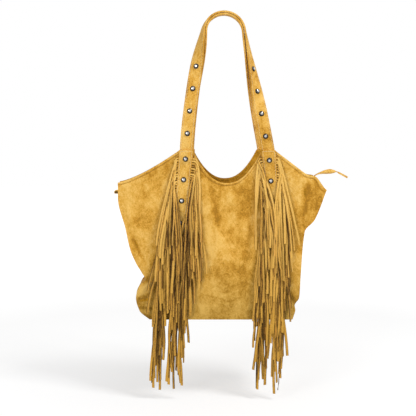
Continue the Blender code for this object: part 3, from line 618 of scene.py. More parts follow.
def suede_finish(name, dark, middle, light, low=None, fall=(0.36, 2.9, 0.85), deep=0.75, cloudy=1.0):
    """Napped suede: clouds, brushed patches and fine nap; low is the colour it falls to lower down.

    fall is the depth below the origin at which that starts, its rate and its share; deep darkens the
    darkest stop, which strong painted shade reaches, and cloudy scales the mottling. The shade attribute
    of a piece adds its painted shade and painted highlights.
    """
    made = Finish(name, Sheen_Weight=0.08, Sheen_Roughness=0.5, Specular_IOR_Level=0.1)
    clouds = made.grain(15, 3, 0.55)
    patches = made.grain(58, 5, 0.68, (1.0, 1.0, 0.75))
    strokes = made.grain(95, 4, 0.62, (1.0, 1.0, 0.7), 1.6)
    nap = made.grain(380, 3, 0.75)
    mottle = (clouds * 1.3 + patches * 1.5 + strokes * 0.9) * cloudy
    share = (mottle + nap * 1.2 + made.written("shade") + 0.5).limited()
    colour = made.node("ShaderNodeValToRGB", {
        "stops": ((0.0, tuple(c * deep for c in dark)), (0.18, dark), (0.5, middle), (0.88, light))},
        {0: share})
    if low:
        start, rate, most = fall
        fallen = ((made.height() * -1.0 - start) * rate).limited() * most
        colour = made.blend(fallen, colour, made.node("ShaderNodeValToRGB", {
            "stops": ((0.0, tuple(c * deep for c in low[0])), (0.2, low[0]), (0.88, low[1]))}, {0: share}))
    made.colour(colour)
    made.rough(nap * 0.25 + 0.9)
    fine = made.grain(900, 4, 0.75)
    made.raise_by(nap * 0.8 + fine * 0.5 + patches * 1.0 + strokes * 1.5, 0.7, 0.0016)
    return made.material


def cloth_finish(name, warp, weft, pitch):
    """Plain woven cloth with a thread pitch in metres."""
    made = Finish(name, Sheen_Weight=0.1, Specular_IOR_Level=0.2)
    waves = [made.node("ShaderNodeTexWave", {"bands_direction": axis, "wave_profile": "SIN"}, {
        "Vector": made.place, "Scale": 0.31831 / pitch, "Distortion": 0.4, "Detail": 1.0})
        for axis in ("X", "Z")]
    weave = waves[0] * waves[1]
    made.colour(made.blend((weave + made.grain(24, 3) * 0.8).limited(), warp, weft))
    made.rough(weave * 0.1 + 0.82)
    made.raise_by(weave, 0.4, 0.0003)
    return made.material


def metal_finish(name, bright, tarnish_and_dark_reflection, roughness):
    """Antiqued metal with patchy tarnish, plus the painted reflection that a piece's shade attribute carries.
    """
    made = Finish(name, Metallic=1.0)
    age = made.grain(240, 4, 0.7)
    made.colour(made.blend((age * 1.6 + 0.35 + made.written("shade")).limited(), bright, tarnish_and_dark_reflection))
    made.rough((age * 0.35 + roughness).limited())
    made.raise_by(made.grain(800, 2), 0.08, 0.0002)
    return made.material


def thread_finish(name, light, dark):
    made = Finish(name, Sheen_Weight=0.15, Specular_IOR_Level=0.3)
    twist = made.grain(700, 2)
    made.colour(made.blend((twist * 1.4 + 0.4).limited(), light, dark))
    made.rough(twist * 0.2 + 0.7)
    made.raise_by(twist, 0.3, 0.0002)
    return made.material


def board_finish(name, light, dark):
    made = Finish(name, Specular_IOR_Level=0.3)
    fibre = made.grain(120, 4, 0.7, (1.0, 0.2, 1.0))
    made.colour(made.blend((fibre * 1.5 + 0.5).limited(), light, dark))
    made.rough(fibre * 0.2 + 0.75)
    made.raise_by(fibre, 0.25, 0.0004)
    return made.material


def length_property(label, about, value):
    return bpy.props.FloatProperty(name=label, description=about, default=value, unit="LENGTH")


class BagSizes(bpy.types.PropertyGroup):
    """Sizes of the trim that a maker would change, in metres."""

    thong_width: length_property("Thong Width", "Width of one thong of the fringe", 0.0048)
    thong_thick: length_property("Thong Thickness", "Thickness of the fringe suede", 0.0012)
    thong_pitch: length_property("Thong Pitch", "Spacing of the thongs along a band", 0.0052)
    thong_length: length_property("Thong Length", "Length of a thong from the band to its tip", 0.173)
    stitch_pitch: length_property("Stitch Pitch", "Spacing of the stitches", 0.0032)
    stitch_length: length_property("Stitch Length", "Length of a stitch that shows", 0.0024)
    stitch_width: length_property("Thread Width", "Width of the thread", 0.0011)
    stitch_inset: length_property("Stitch Inset", "Stitches in from an edge", 0.0026)
    tooth_pitch: length_property("Tooth Pitch", "Spacing of the zip's teeth", 0.0018)


def colour_property(label, about, value):
    return bpy.props.FloatVectorProperty(
        name=label, description=about, default=value, size=3, min=0, max=1, subtype="COLOR")


class BagColours(bpy.types.PropertyGroup):
    """Colours of the suede, thread, cloth and metal, in linear light."""

    suede: colour_property("Suede", "Middle colour of the suede", (0.72, 0.385, 0.060))
    # Painted shade and painted highlights on the suede reach these dark and light colours, besides its own
    # brushed patches
    suede_dark: colour_property("Suede Dark", "Brushed dark patches", (0.52, 0.245, 0.022))
    suede_light: colour_property("Suede Light", "Brushed light patches", (0.86, 0.53, 0.135))
    flesh: colour_property("Flesh Side", "Inside of the suede", (0.56, 0.27, 0.017))
    flesh_light: colour_property("Flesh Side Light", "Light patches inside", (0.70, 0.38, 0.040))
    suede_low: colour_property("Suede Low", "Olive tone near the base", (0.33, 0.18, 0.022))
    suede_low_light: colour_property("Suede Low Light", "Light olive near the base", (0.60, 0.365, 0.078))
    fringe_dark: colour_property("Fringe Dark", "Shaded thongs of the fringe", (0.36, 0.170, 0.042))
    fringe_low: colour_property("Fringe Low", "Fringe lower down", (0.225, 0.108, 0.020))
    fringe_low_light: colour_property("Fringe Low Light", "Light fringe lower down", (0.62, 0.335, 0.052))
    thread: colour_property("Thread", "Stitching", (0.93, 0.74, 0.40))
    metal: colour_property("Metal", "Studs, slider and tab", (0.72, 0.71, 0.69))
    # Tarnish, and the painted dark reflection towards the studs' rims
    tarnish_and_dark_reflection: colour_property("Tarnish", "Dark of the metal", (0.045, 0.040, 0.036))
    cloth: colour_property("Lining", "Lining cloth", (0.24, 0.17, 0.09))
    floor: colour_property("Floor", "Studio floor", (0.93, 0.93, 0.93))


finishes = {}


def make_finishes(colours):
    """All the materials, by the name that the pieces ask for."""
    def tone(name, share=1.0):
        return tuple(c * share for c in getattr(colours, name))

    middle, light = tone("suede"), tone("suede_light")
    finishes["suede"] = suede_finish("napped_suede", tone("suede_dark"), middle, light,
                                     (tone("suede_low"), tone("suede_low_light")), (0.48, 9.0, 0.75))
    finishes["flesh"] = suede_finish("suede_flesh_side", tone("flesh", 0.75), tone("flesh"),
                                     tone("flesh_light"))
    finishes["fringe"] = suede_finish("fringe_suede", tone("fringe_dark"), middle, light,
                                      (tone("fringe_low"), tone("fringe_low_light")),
                                      (0.33, 3.6, 1.0), 0.28, 0.4)
    finishes["thread"] = thread_finish("waxed_thread", tone("thread"), tone("thread", 0.72))
    finishes["hem"] = thread_finish("hem_thread", tone("suede", 0.62), tone("suede", 0.42))
    finishes["stud"] = metal_finish("antique_stud", tone("metal"), tone("tarnish_and_dark_reflection"), 0.2)
    finishes["zip"] = metal_finish("antique_zip", tone("metal", 0.55), tone("tarnish_and_dark_reflection"), 0.3)
    finishes["tape"] = cloth_finish("zip_tape_weave", (0.10, 0.07, 0.035), (0.19, 0.14, 0.07), 0.0009)
    finishes["cloth"] = cloth_finish("lining_weave", tone("cloth", 0.7), tone("cloth"), 0.0008)
    finishes["board"] = board_finish("base_board_fibre", (0.30, 0.22, 0.13), (0.20, 0.14, 0.08))


# Meshes

def strip(across, along, walled=True):
    """A flat strip one unit wide, long and thick, in steps, to be bent into place."""
    bm = bmesh.new()
    bm.loops.layers.uv.new("UVMap")
    bm.verts.layers.float.new("shade")
    bmesh.ops.create_grid(bm, x_segments=across, y_segments=along, size=0.5, calc_uvs=True)
    bmesh.ops.translate(bm, vec=(0.5, 0.5, 0), verts=bm.verts)
    if walled:
        bmesh.ops.solidify(bm, geom=bm.faces[:], thickness=1.0)
        low = min(v.co.z for v in bm.verts)
        bmesh.ops.translate(bm, vec=(0, 0, -low), verts=bm.verts)
    return bm


def bend(bm, place, shade=None):
    """Moves each vertex from its share across, along and through to its place."""
    layer = bm.verts.layers.float.active or bm.verts.layers.float.new("shade")
    for vert in bm.verts:
        u, v, w = vert.co
        if shade:
            vert[layer] = shade(u, v, w)
        vert.co = place(u, v, w)
    return bm


def piece(name, bm, finish, nodes=(), body="bag", angle=40.0):
    """Turns the faces out, and puts the mesh in the scene in metres on its body."""
    bmesh.ops.recalc_face_normals(bm, faces=bm.faces[:])
    bmesh.ops.scale(bm, vec=(MM, MM, MM), verts=bm.verts[:])
    mesh = bpy.data.meshes.new(name)
    bm.to_mesh(mesh)
    bm.free()
    for key in (finish,) if isinstance(finish, str) else finish:
        mesh.materials.append(finishes[key])
    mesh.shade_smooth()
    mesh.set_sharp_from_angle(angle=math.radians(angle))
    made = bpy.data.objects.new(name, mesh)
    bpy.context.scene.collection.objects.link(made)
    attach(made, body)
    if nodes:
        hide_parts(*nodes)
    return made


# Panels

def column_top(u):
    return mix(-LEFT_CORNER, RIGHT_CORNER, u)


def hem(distance):
    """Height of the turned hem and of the stitched groove below it."""
    return 0.9 * bell((distance - 1.9) / 1.9) - 0.6 * bell(distance - HEM_ROW)


def edge_slope(x_top, scoop):
    return (top_z(x_top + 1, scoop) - top_z(x_top - 1, scoop)) / 2


def panel_point(u, t, scoop):
    """Panel point whose rows crowd towards the hem, and its distance below the hem's edge."""
    v = t / HEM_ROWS * HEM_SHARE if t < HEM_ROWS else mix(HEM_SHARE, 1, (t - HEM_ROWS) / (1 - HEM_ROWS))
    x_top = column_top(u)
    x, z = outline_point(u, v, x_top, scoop)
    slope = edge_slope(x_top, scoop) if abs(u - 0.5) < 0.495 else 0
    return x, z, (1 - v) * (top_z(x_top, scoop) - BASE_Z) / math.hypot(1, slope)


def panel_lift(x, z, distance, seed):
    """How far the leather stands out from its plain drape."""
    free = sewn_on(x, z) * smooth((x - left_x(z)) / 14) * smooth((right_x(z) - x) / 14)
    free *= smooth((z - BASE_Z) / 20)
    lift = rumple(x, z, seed) * free + hem(distance) * sewn_on(x, z)
    if seed == 0:
        lift += lines_near(FOLDS, x, z) * sewn_on(x, z) * smooth((x - left_x(z)) / 6)
    return lift


def build_panel(name, side, scoop, seed):
    def place(u, t, w):
        x, z, distance = panel_point(u, t, scoop)
        out = half_depth(x, z) + drape(-side * x, z)
        if w < 0.5:
            out -= WALL
        else:
            out += panel_lift(x, z, distance, seed)
        return x, side * out, z

    def shade(u, t, w):
        x, z, distance = panel_point(u, t, scoop)
        # Painted highlight along the hem's rolled edge, and painted shade in the stitched groove below it
        lit = 0.16 * bell((distance - 1.6) / 2.2) - 0.3 * bell((distance - HEM_ROW) / 1.1)
        if seed == 0:
            # Painted shade in the folds' hollows and highlights on their ridges, plus the listed fold shade,
            # scuffs and patches
            lit += 0.08 * lines_near(FOLDS, x, z) + lines_near(FOLD_SHADE_AND_SCUFFS, x, z)
            for px, pz, wide, tall, amount in MOTTLE_AND_SHADE_PATCHES:
                lit += amount * math.exp(-(((x - px) / wide) ** 2) - ((z - pz) / tall) ** 2)
        return lit

    bm = bend(strip(*PANEL_GRID), place, shade)
    for face in bm.faces:
        face.normal_update()
    bmesh.ops.recalc_face_normals(bm, faces=bm.faces[:])
    for face in bm.faces:
        if face.normal.y * -side > 0.3:  # faces inward
            face.material_index = 1
    return piece(f"{name}_suede", bm, ("suede", "flesh"), (name,))


class FRINGED_BAG_OT_panels(bpy.types.Operator):
    """Adds the front and back panels with their hems, folds and drape"""

    bl_idname = "fringed_bag.panels"
    bl_label = "Panels"

    def execute(self, context):
        for panel in PANELS:
            build_panel(*panel)
        return {"FINISHED"}


class FRINGED_BAG_OT_sides(bpy.types.Operator):
    """Adds the folded side gussets and the base"""

    bl_idname = "fringed_bag.sides"
    bl_label = "Sides and Base"

    def execute(self, context):
        bottom = BASE_Z + BASE_WALL + 2 * GAP
        for side, word, seam_x in ((-1, "left", left_x), (1, "right", right_x)):
            def place(u, v, w):
                z = mix(bottom, ZIP_Z - GUSSET_TOP_DROP, v)
                x = seam_x(z) - side * SEAM
                reach = inner_reach(x, z)
                across = 2 * u - 1
                inward = gusset_fold(z, across, GUSSET_SWELL) + (1 - w) * GUSSET_WALL
                free = (1 - across ** 4) * smooth(v / 0.1) * smooth((1 - v) / 0.1)
                inward -= 1.4 * free * noise.noise(Vector((across * 1.7, z / 30, side * 9)))
                inward += 1.6 * free * bell((z - BASE_Z - SIDE_CREASE) / 7) * (1 - abs(across))
                return x - side * inward, across * reach, z

            piece(f"side_{word}", bend(strip(28, 90), place), "suede", (f"gusset_{word}",))

        def floor_place(u, v, w):
            left, right = left_x(BASE_Z) + SEAM, right_x(BASE_Z) - SEAM
            x = mix(left, right, u)
            reach = inner_reach(x, BASE_Z)
            sag = 0.7 * noise.noise(Vector((x / 40, v * 3, 7))) * smooth((0.5 - abs(u - 0.5)) / 0.06)
            return x, mix(-reach, reach, v), BASE_Z + w * BASE_WALL + (sag * 0.5 if w < 0.5 else 0)

        piece("base_suede", bend(strip(90, 36), floor_place), "suede", ("base_panel",))
        return {"FINISHED"}


# Straps, bands and stitching

def strap_point(line, t):
    """Frame of a strap at t from -2, the left end, to 2, the right end."""
    side = -1 if t < 0 else 1
    middle, normal, width = square(line, side, abs(t))
    return middle, normal, width * side


def strap_out(u):
    """How far a strap's face lies from its middle, padded between its stitched edges."""
    away = abs(2 * u - 1)
    padding = 0.45 * (1 - smooth((away - 0.62) / 0.2)) - 0.9 * smooth((away - 0.93) / 0.07)
    return STRAP_THICK / 2 - STRAP_SKIN + padding * 0.45


def seam_shade(u, width, base, edge, groove):
    """Painted shade across a strap or band: darker at its cut edges and in the grooves along its stitched
    rows.
    """
    row = (0.5 - abs(u - 0.5)) * width - EDGE_ROW
    return base - edge * smooth((abs(2 * u - 1) - 0.93) / 0.06) - groove * bell(row / 1.3)


STRAPS = (("strap_front", leg_line), ("strap_rear", rear_line))


class FRINGED_BAG_OT_straps(bpy.types.Operator):
    """Adds the two nested straps"""

    bl_idname = "fringed_bag.straps"
    bl_label = "Straps"

    def execute(self, context):
        for name, line in STRAPS:
            def place(u, v, w):
                middle, normal, width = strap_point(line, mix(-2, 2, v))
                out = strap_out(u) * (1 if w > 0.5 else -1)
                return middle + width * (u - 0.5) * STRAP_WIDTH + normal * out

            def shade(u, v, w):
                return seam_shade(u, STRAP_WIDTH, 0.06, 0.12, 0.2)

            bm = bend(strip(16, STRAP_STEPS), place, shade)
            piece(f"{name}_suede", bm, "suede", (name,), angle=50)
        return {"FINISHED"}


def band_point(side, u, z, out):
    """Point on a band at share u across, out from its back."""
    x = band_x(side, z) + band_width(z) * (u - 0.5)
    return Vector((x, -half_depth(band_x(side, z), z) - band_offset(z) - out, z))


def tab_point(side, u, z, out):
    """Point on the tab over a rear strap's end."""
    ease = smooth((z - PEAK_Z + STRAP_TUCK + 12) / 10)
    y = half_depth(band_x(side, z), z) + mix(SOFT_GAP, STRAP_THICK + GAP + SOFT_GAP, ease)
    middle = mix(side * PEAK[side] + REAR_SHIFT[side], band_x(side, z) + REAR_SHIFT[side], 0.5)
    return Vector((middle + BAND_WIDTH_TOP * (u - 0.5), y + out, z))


class FRINGED_BAG_OT_bands(bpy.types.Operator):
    """Adds the studded bands down the front and the tabs behind"""

    bl_idname = "fringed_bag.bands"
    bl_label = "Bands and Tabs"

    def execute(self, context):
        for side, word in SIDES:
            for name, point, bottom, steps in (
                    ("band", band_point, BASE_Z + BAND_BOTTOM_RISE, 150),
                    ("rear_tab", tab_point, PEAK_Z - REAR_TAB_LENGTH, 40)):
                def place(u, v, w):
                    z = mix(bottom, PEAK_Z, v)
                    away = abs(2 * u - 1)
                    soft = 0.25 * noise.noise(Vector((u * 2, z / 14, side)))
                    swell = 0.35 * (1 - smooth((away - 0.6) / 0.2)) - 0.5 * smooth((away - 0.94) / 0.06)
                    return point(side, u, z, w * (BAND_THICK + swell + soft))

                def shade(u, v, w):
                    return seam_shade(u, BAND_WIDTH, 0.10, 0.35, 0.22)

                piece(f"{name}_{word}_suede", bend(strip(18, steps), place, shade), "suede",
                      (f"{name}_{word}",), angle=50)
        return {"FINISHED"}


def sew(bm, run, sizes):
    """Adds a row of stitches along a run of (point, outward normal)."""
    pitch = sizes.stitch_pitch * 1000
    half = Matrix.Diagonal((sizes.stitch_length * 500, sizes.stitch_width * 500, sizes.stitch_width * 350, 1))
    travelled, due = 0.0, pitch / 2
    for (a, normal), (b, _) in zip(run, run[1:]):
        step = (b - a).length
        along = (b - a).normalized()
        across = normal.cross(along).normalized()
        turn = Matrix((along, across, along.cross(across))).transposed().to_4x4()
        while step > 0 and due <= travelled + step:
            at = a.lerp(b, (due - travelled) / step)
            bmesh.ops.create_icosphere(bm, subdivisions=1, radius=1,
                                       matrix=Matrix.Translation(at) @ turn @ half)
            due += pitch
        travelled += step


def hem_run(scoop, side, seed, low, high):
    """The row of stitches below a panel's upper edge, from x to x."""
    run = []
    count = int((high - low) / 2)
    for i in range(count + 1):
        x_top = mix(low, high, i / count)
        slope = edge_slope(x_top, scoop)
        down = Vector((slope, -1)).normalized() * HEM_ROW
        x, z = x_top + down.x, top_z(x_top, scoop) + down.y
        out = half_depth(x, z) + drape(-side * x, z) + panel_lift(x, z, HEM_ROW, seed) + 0.15
        run.append((Vector((x, side * out, z)), Vector((0, side, 0))))
    return run


class FRINGED_BAG_OT_stitching(bpy.types.Operator):
    """Adds the light stitching along the hems, straps, bands and tabs"""

    bl_idname = "fringed_bag.stitching"
    bl_label = "Stitching"

    def execute(self, context):
        sizes = context.scene.bag_sizes
        inset = sizes.stitch_inset * 1000
        hems = bmesh.new()
        for _, side, scoop, seed in PANELS:
            for low, high in ((-LEFT_CORNER + 5, -PEAK_LEFT - 16), (-PEAK_LEFT + 16, PEAK_RIGHT - 16),
                              (PEAK_RIGHT + 16, RIGHT_CORNER - 5)):
                sew(hems, hem_run(scoop, side, seed, low, high), sizes)
        piece("hem_stitching", hems, "hem")

        for name, line in STRAPS:
            rows = bmesh.new()
            for edge in (-1, 1):
                for face in (-1, 1):
                    share = 0.5 + edge * (0.5 - inset / STRAP_WIDTH)
                    out = face * (strap_out(share) + 0.1)
                    run = []
                    for i in range(STRAP_STEPS + 1):
                        middle, normal, width = strap_point(line, mix(-1.97, 1.97, i / STRAP_STEPS))
                        run.append((middle + width * (share - 0.5) * STRAP_WIDTH + normal * out,
                                    normal * face))
                    sew(rows, run, sizes)
            piece(f"{name}_stitching", rows, "thread")

        rows = bmesh.new()
        for side in (-1, 1):
            for point, bottom, normal in ((band_point, BASE_Z + BAND_BOTTOM_RISE, Vector((0, -1, 0))),
                                          (tab_point, PEAK_Z - REAR_TAB_LENGTH, Vector((0, 1, 0)))):
                share = inset / BAND_WIDTH
                top, low = PEAK_Z - inset, bottom + inset
                out = BAND_THICK + 0.2
                down = [mix(top, low, i / 120) for i in range(121)]
                shares = [mix(share, 1 - share, i / 8) for i in range(9)]
                for u in (share, 1 - share):
                    sew(rows, [(point(side, u, z, out), normal) for z in down], sizes)
                for z in (top, low):
                    sew(rows, [(point(side, u, z, out + 0.2), normal) for u in shares], sizes)
        piece("band_stitching", rows, "thread")
        return {"FINISHED"}


# Studs

def add_stud(bm, middle, normal, width, clear):
    """Spins one domed stud with a stepped rim, with a painted reflection: bright on top, dark towards the
    rim.
    """
    painted_reflection = bm.verts.layers.float.get("shade") or bm.verts.layers.float.new("shade")
    dome = [(math.sin(a) * STUD_RADIUS * 0.9, 0.75 + math.cos(a) * (STUD_RISE - 0.75))
            for a in (math.pi / 2 * k / 6 for k in range(7))]
    profile = [(0, 0), (STUD_RADIUS, 0), (STUD_RADIUS, 0.45), (STUD_RADIUS * 0.96, 0.75)] + dome[::-1]
    verts = [bm.verts.new(middle + normal * (clear + rise) + width * away) for away, rise in profile]
    for vert, (away, _) in zip(verts, profile):
        # Painted reflection: bright metal on top of the dome, dark towards the rim
        vert[painted_reflection] = 1.4 * smooth(away / STUD_RADIUS * 1.3 - 0.08) - 0.5
    edges = [bm.edges.new(pair) for pair in zip(verts, verts[1:])]
    bmesh.ops.spin(bm, geom=verts + edges, cent=middle, axis=normal, dvec=(0, 0, 0),
                   angle=2 * math.pi, steps=20, use_merge=True, use_duplicate=False)


class FRINGED_BAG_OT_studs(bpy.types.Operator):
    """Adds the domed studs on the straps and bands"""

    bl_idname = "fringed_bag.studs"
    bl_label = "Studs"

    def execute(self, context):
        for group, line, face, count in (("strap", leg_line, 1, STRAP_STUDS),
                                         ("rear", rear_line, -1, STRAP_STUDS),
                                         ("band", None, 1, len(BAND_STUDS))):
            bm = bmesh.new()
            nodes = []
            for side, word in SIDES:
                for k in range(count):
                    nodes.append(f"stud_{group}_{word}_{k + 1}")
                    if line:
                        s = leg_place(line, side, PEAK_Z + FIRST_RISE[side] + k * STUD_PITCH)
                        middle, normal, width = square(line, side, s)
                        foot = middle + normal * face * (STRAP_THICK / 2 - STRAP_SKIN)
                        add_stud(bm, foot, normal * face, width, TURN_GAP - 0.5)
                        continue
                    z = PEAK_Z - FIRST_DROP[side] - BAND_STUDS[k]
                    here, below = band_point(side, 0.5, z + 4, 0), band_point(side, 0.5, z - 4, 0)
                    normal = Vector((0, -1, (here.y - below.y) / 8)).normalized()
                    add_stud(bm, band_point(side, 0.5, z, BAND_THICK + 0.2), normal, Vector((1, 0, 0)), 0.1)
            bmesh.ops.remove_doubles(bm, verts=bm.verts[:], dist=0.001)
            piece(f"studs_{group}", bm, "stud", nodes, angle=35)
        return {"FINISHED"}


# Fringe

def fringe_cover(side, x, z):
    """Distance of the fringe's bed from the middle: the panel, and the studded band over it."""
    over = smooth((band_width(z) / 2 + 6 - abs(x - band_x(side, z))) / 6)
    band = (band_offset(z) + BAND_THICK + 2.6) if z > BASE_Z + BAND_BOTTOM_RISE else 5.0
    return half_depth(x, z) + SOFT_GAP + over * band


def fringe_header(bm, side, out, top, bottom):
    """Adds the uncut strip that the thongs hang from, with painted shadow on it beside the band, darker
    further down.
    """
    header = strip(1, 60)

    def place(u, v, w):
        z = mix(bottom - 2, top + 2, v)
        x = band_x(side, z) + out * (band_width(z) / 2 + mix(-3.0, 2.6, u))
        return Vector((x, -(half_depth(x, z) + SOFT_GAP + 0.1 + w * 0.8), z))

    # Painted shadow: dark beside the band, darker further down
    bend(header, place, lambda u, v, w: -0.22 - 0.6 * smooth((PEAK_Z - 50 - mix(bottom, top, v)) / 50))
    mesh = bpy.data.meshes.new("header")
    header.to_mesh(mesh)
    header.free()
    bm.from_mesh(mesh)
    bpy.data.meshes.remove(mesh)


def thong_stations(side, out, root, share, length, reach, wave, phase):
    """Middles and lead angles of one thong, from under the band's edge to its tip."""
    edge = band_x(side, root) + out * band_width(root) / 2
    bed = band_offset(root) * 0.6
    stations = []
    for far, down, angle in ((-2.0, 0.0, 0.0), (reach * 0.62, reach * 0.12, math.pi / 5),
                             (reach, reach * 0.75, math.pi / 2.4)):
        x = edge + out * far
        lift = bed + smooth(far / reach) * 1.2
        stations.append((Vector((x, -(half_depth(x, root) + SOFT_GAP + lift), root - down)), angle))
    lanes = LANES[side, out]
    far, near = (through([(-lane[0], lane[k]) for lane in lanes], length - root) for k in (1, 2))
    aim = mix(near, far, share)
    sway, ripple, lift, stray = wave
    held = 0.0
    falling = THONG_STEPS - len(stations)
    for i in range(falling):
        drop = mix(reach * 0.75, length, ((i + 1) / falling) ** 0.9)
        z = root - drop
        fall = min(1.0, drop / length)
        x = mix(edge + out * reach, aim, 1 - (1 - fall) ** (1.5 + 2.2 * (1 - share)))
        free = smooth(drop / 70)
        x += (sway * math.sin(phase + drop / 36) + ripple * math.sin(2.3 * phase + drop / 13)) * free
        x += stray * smooth((fall - 0.45) / 0.55)
        held = max(held, fringe_cover(side, x, max(z, BASE_Z)))
        cover = mix(half_depth(x, max(z, BASE_Z)) + SOFT_GAP + bed + 1.2, held, smooth((drop - 4) / 26))
        y = cover + 0.045 * drop + lift * free * (1 + 0.6 * math.sin(phase * 1.7 + drop / 30))
        stations.append((Vector((x, -y, z)), math.pi / 2))
    return stations


def add_thong(bm, template, stations, out, turns, size, cut, thong_tone_and_shade, depths):
    """Adds one thong along its stations.

    turns are its roll and twist, size its width and thickness, cut the slant of its tip, and depths how
    far its root lies below the fringe's top, and its length.
    """
    last = THONG_STEPS - 1
    (roll, turn), (wide, thick), (below, length) = turns, size, depths
    start = len(bm.verts)
    bm.from_mesh(template)
    bm.verts.ensure_lookup_table()
    layer = bm.verts.layers.float["shade"]
    for vert in bm.verts[start:]:
        u, v, w = vert.co
        i = round(v * last)
        middle, angle = stations[i]
        along = (stations[min(i + 1, last)][0] - stations[max(i - 1, 0)][0]).normalized()
        twist = (roll + turn * v) * smooth(v * 3)
        across = Vector((out * math.sin(angle) * math.cos(twist), math.sin(twist), math.cos(angle)))
        across = (across - along * across.dot(along)).normalized()
        deep = along.cross(across)
        if deep.y > 0:
            deep = -deep
        wide_here = wide * mix(0.66, 1, smooth(v * 7 - 0.4))
        edge = abs(2 * u - 1)
        vert.co = middle + across * (u - 0.5) * wide_here + deep * (w * thick + 0.4 * (1 - edge))
        if i == last:
            vert.co.z += cut * (u - 0.5)
        hidden = min(below, (1 - v) * length) / length
        # Darker on the back face, partly the flesh side's own colour and partly painted shade; painted shade
        # where other thongs cover it and at its edges, and a painted highlight along the middle of its face
        vert[layer] = thong_tone_and_shade - 0.8 * (1 - w) - 0.36 * hidden + 0.4 - 0.64 * edge


class FRINGED_BAG_OT_fringe(bpy.types.Operator):
    """Adds the four strips of long thongs beside the bands"""

    bl_idname = "fringed_bag.fringe"
    bl_label = "Fringe"

    def execute(self, context):
        sizes = context.scene.bag_sizes
        wide, thick = sizes.thong_width * 1000, sizes.thong_thick * 1000
        template = bpy.data.meshes.new("thong")
        bm = strip(2, THONG_STEPS - 1)
        bm.to_mesh(template)
        bm.free()
        chance = random.Random(FRINGE_SEED)
        top, bottom = PEAK_Z - HEADER_DROP, BASE_Z + BAND_BOTTOM_RISE + HEADER_FOOT
        count = int((top - bottom) / (sizes.thong_pitch * 1000))
        for side, word in SIDES:
            for out, place in ((side, "outer"), (-side, "inner")):
                bm = bmesh.new()
                fringe_header(bm, side, out, top, bottom)
                for k in range(count):
                    root = mix(top, bottom, (k + 0.5) / count) + chance.uniform(-ROOT_JITTER, ROOT_JITTER)
                    share = (k * 0.618 + 0.13 + chance.uniform(-SHARE_JITTER, SHARE_JITTER)) % 1.0
                    if HELD_ROOTS[0] < PEAK_Z - root < HELD_ROOTS[1] and side > out:
                        share *= HELD_SHARE
                    share = mix(*SHARE_SPAN, share)
                    length = sizes.thong_length * 1000 + chance.uniform(*LENGTH_SPREAD)
                    lift = chance.uniform(0, MOST_LIFT)
                    spread = LOW_TIP_SPREAD if root - length < LOW_TIP_Z else TIP_SPREAD
                    wave = (chance.uniform(0.2, 2.6), chance.uniform(0.1, 0.7), lift,
                            chance.uniform(-1, 1) * spread + chance.uniform(-1, 1) ** 7 * STRAY)
                    reach = chance.uniform(*TURN_REACH)
                    if out != side:
                        reach += INNER_REACH[side] * smooth((root - PEAK_Z + 110) / 60)
                    stations = thong_stations(side, out, root, share, length, reach, wave,
                                              chance.uniform(0, 6.28))
                    roll, turn = chance.uniform(-0.5, 0.5), chance.uniform(-0.8, 0.8)
                    if chance.random() < 0.16:
                        turn *= 2.2
                    # Random tone per thong, painted shade on thongs that lie deeper with less lift, and a
                    # little lighter on the right
                    thong_tone_and_shade = chance.uniform(-0.3, 0.3) + 0.2 * (lift - 1.3) + 0.03 * side + 0.05
                    cut = chance.uniform(-1.4, 1.4)
                    size = wide * chance.uniform(0.85, 1.12)
                    add_thong(bm, template, stations, out, (roll, turn), (size, thick), cut, thong_tone_and_shade,
                              (top - root, length))
                bmesh.ops.recalc_face_normals(bm, faces=bm.faces[:])
                name = f"fringe_{word}_{place}"
                thongs = piece(f"{name}_thongs", bm, "fringe", (name,))
        return {"FINISHED"}


# Zip

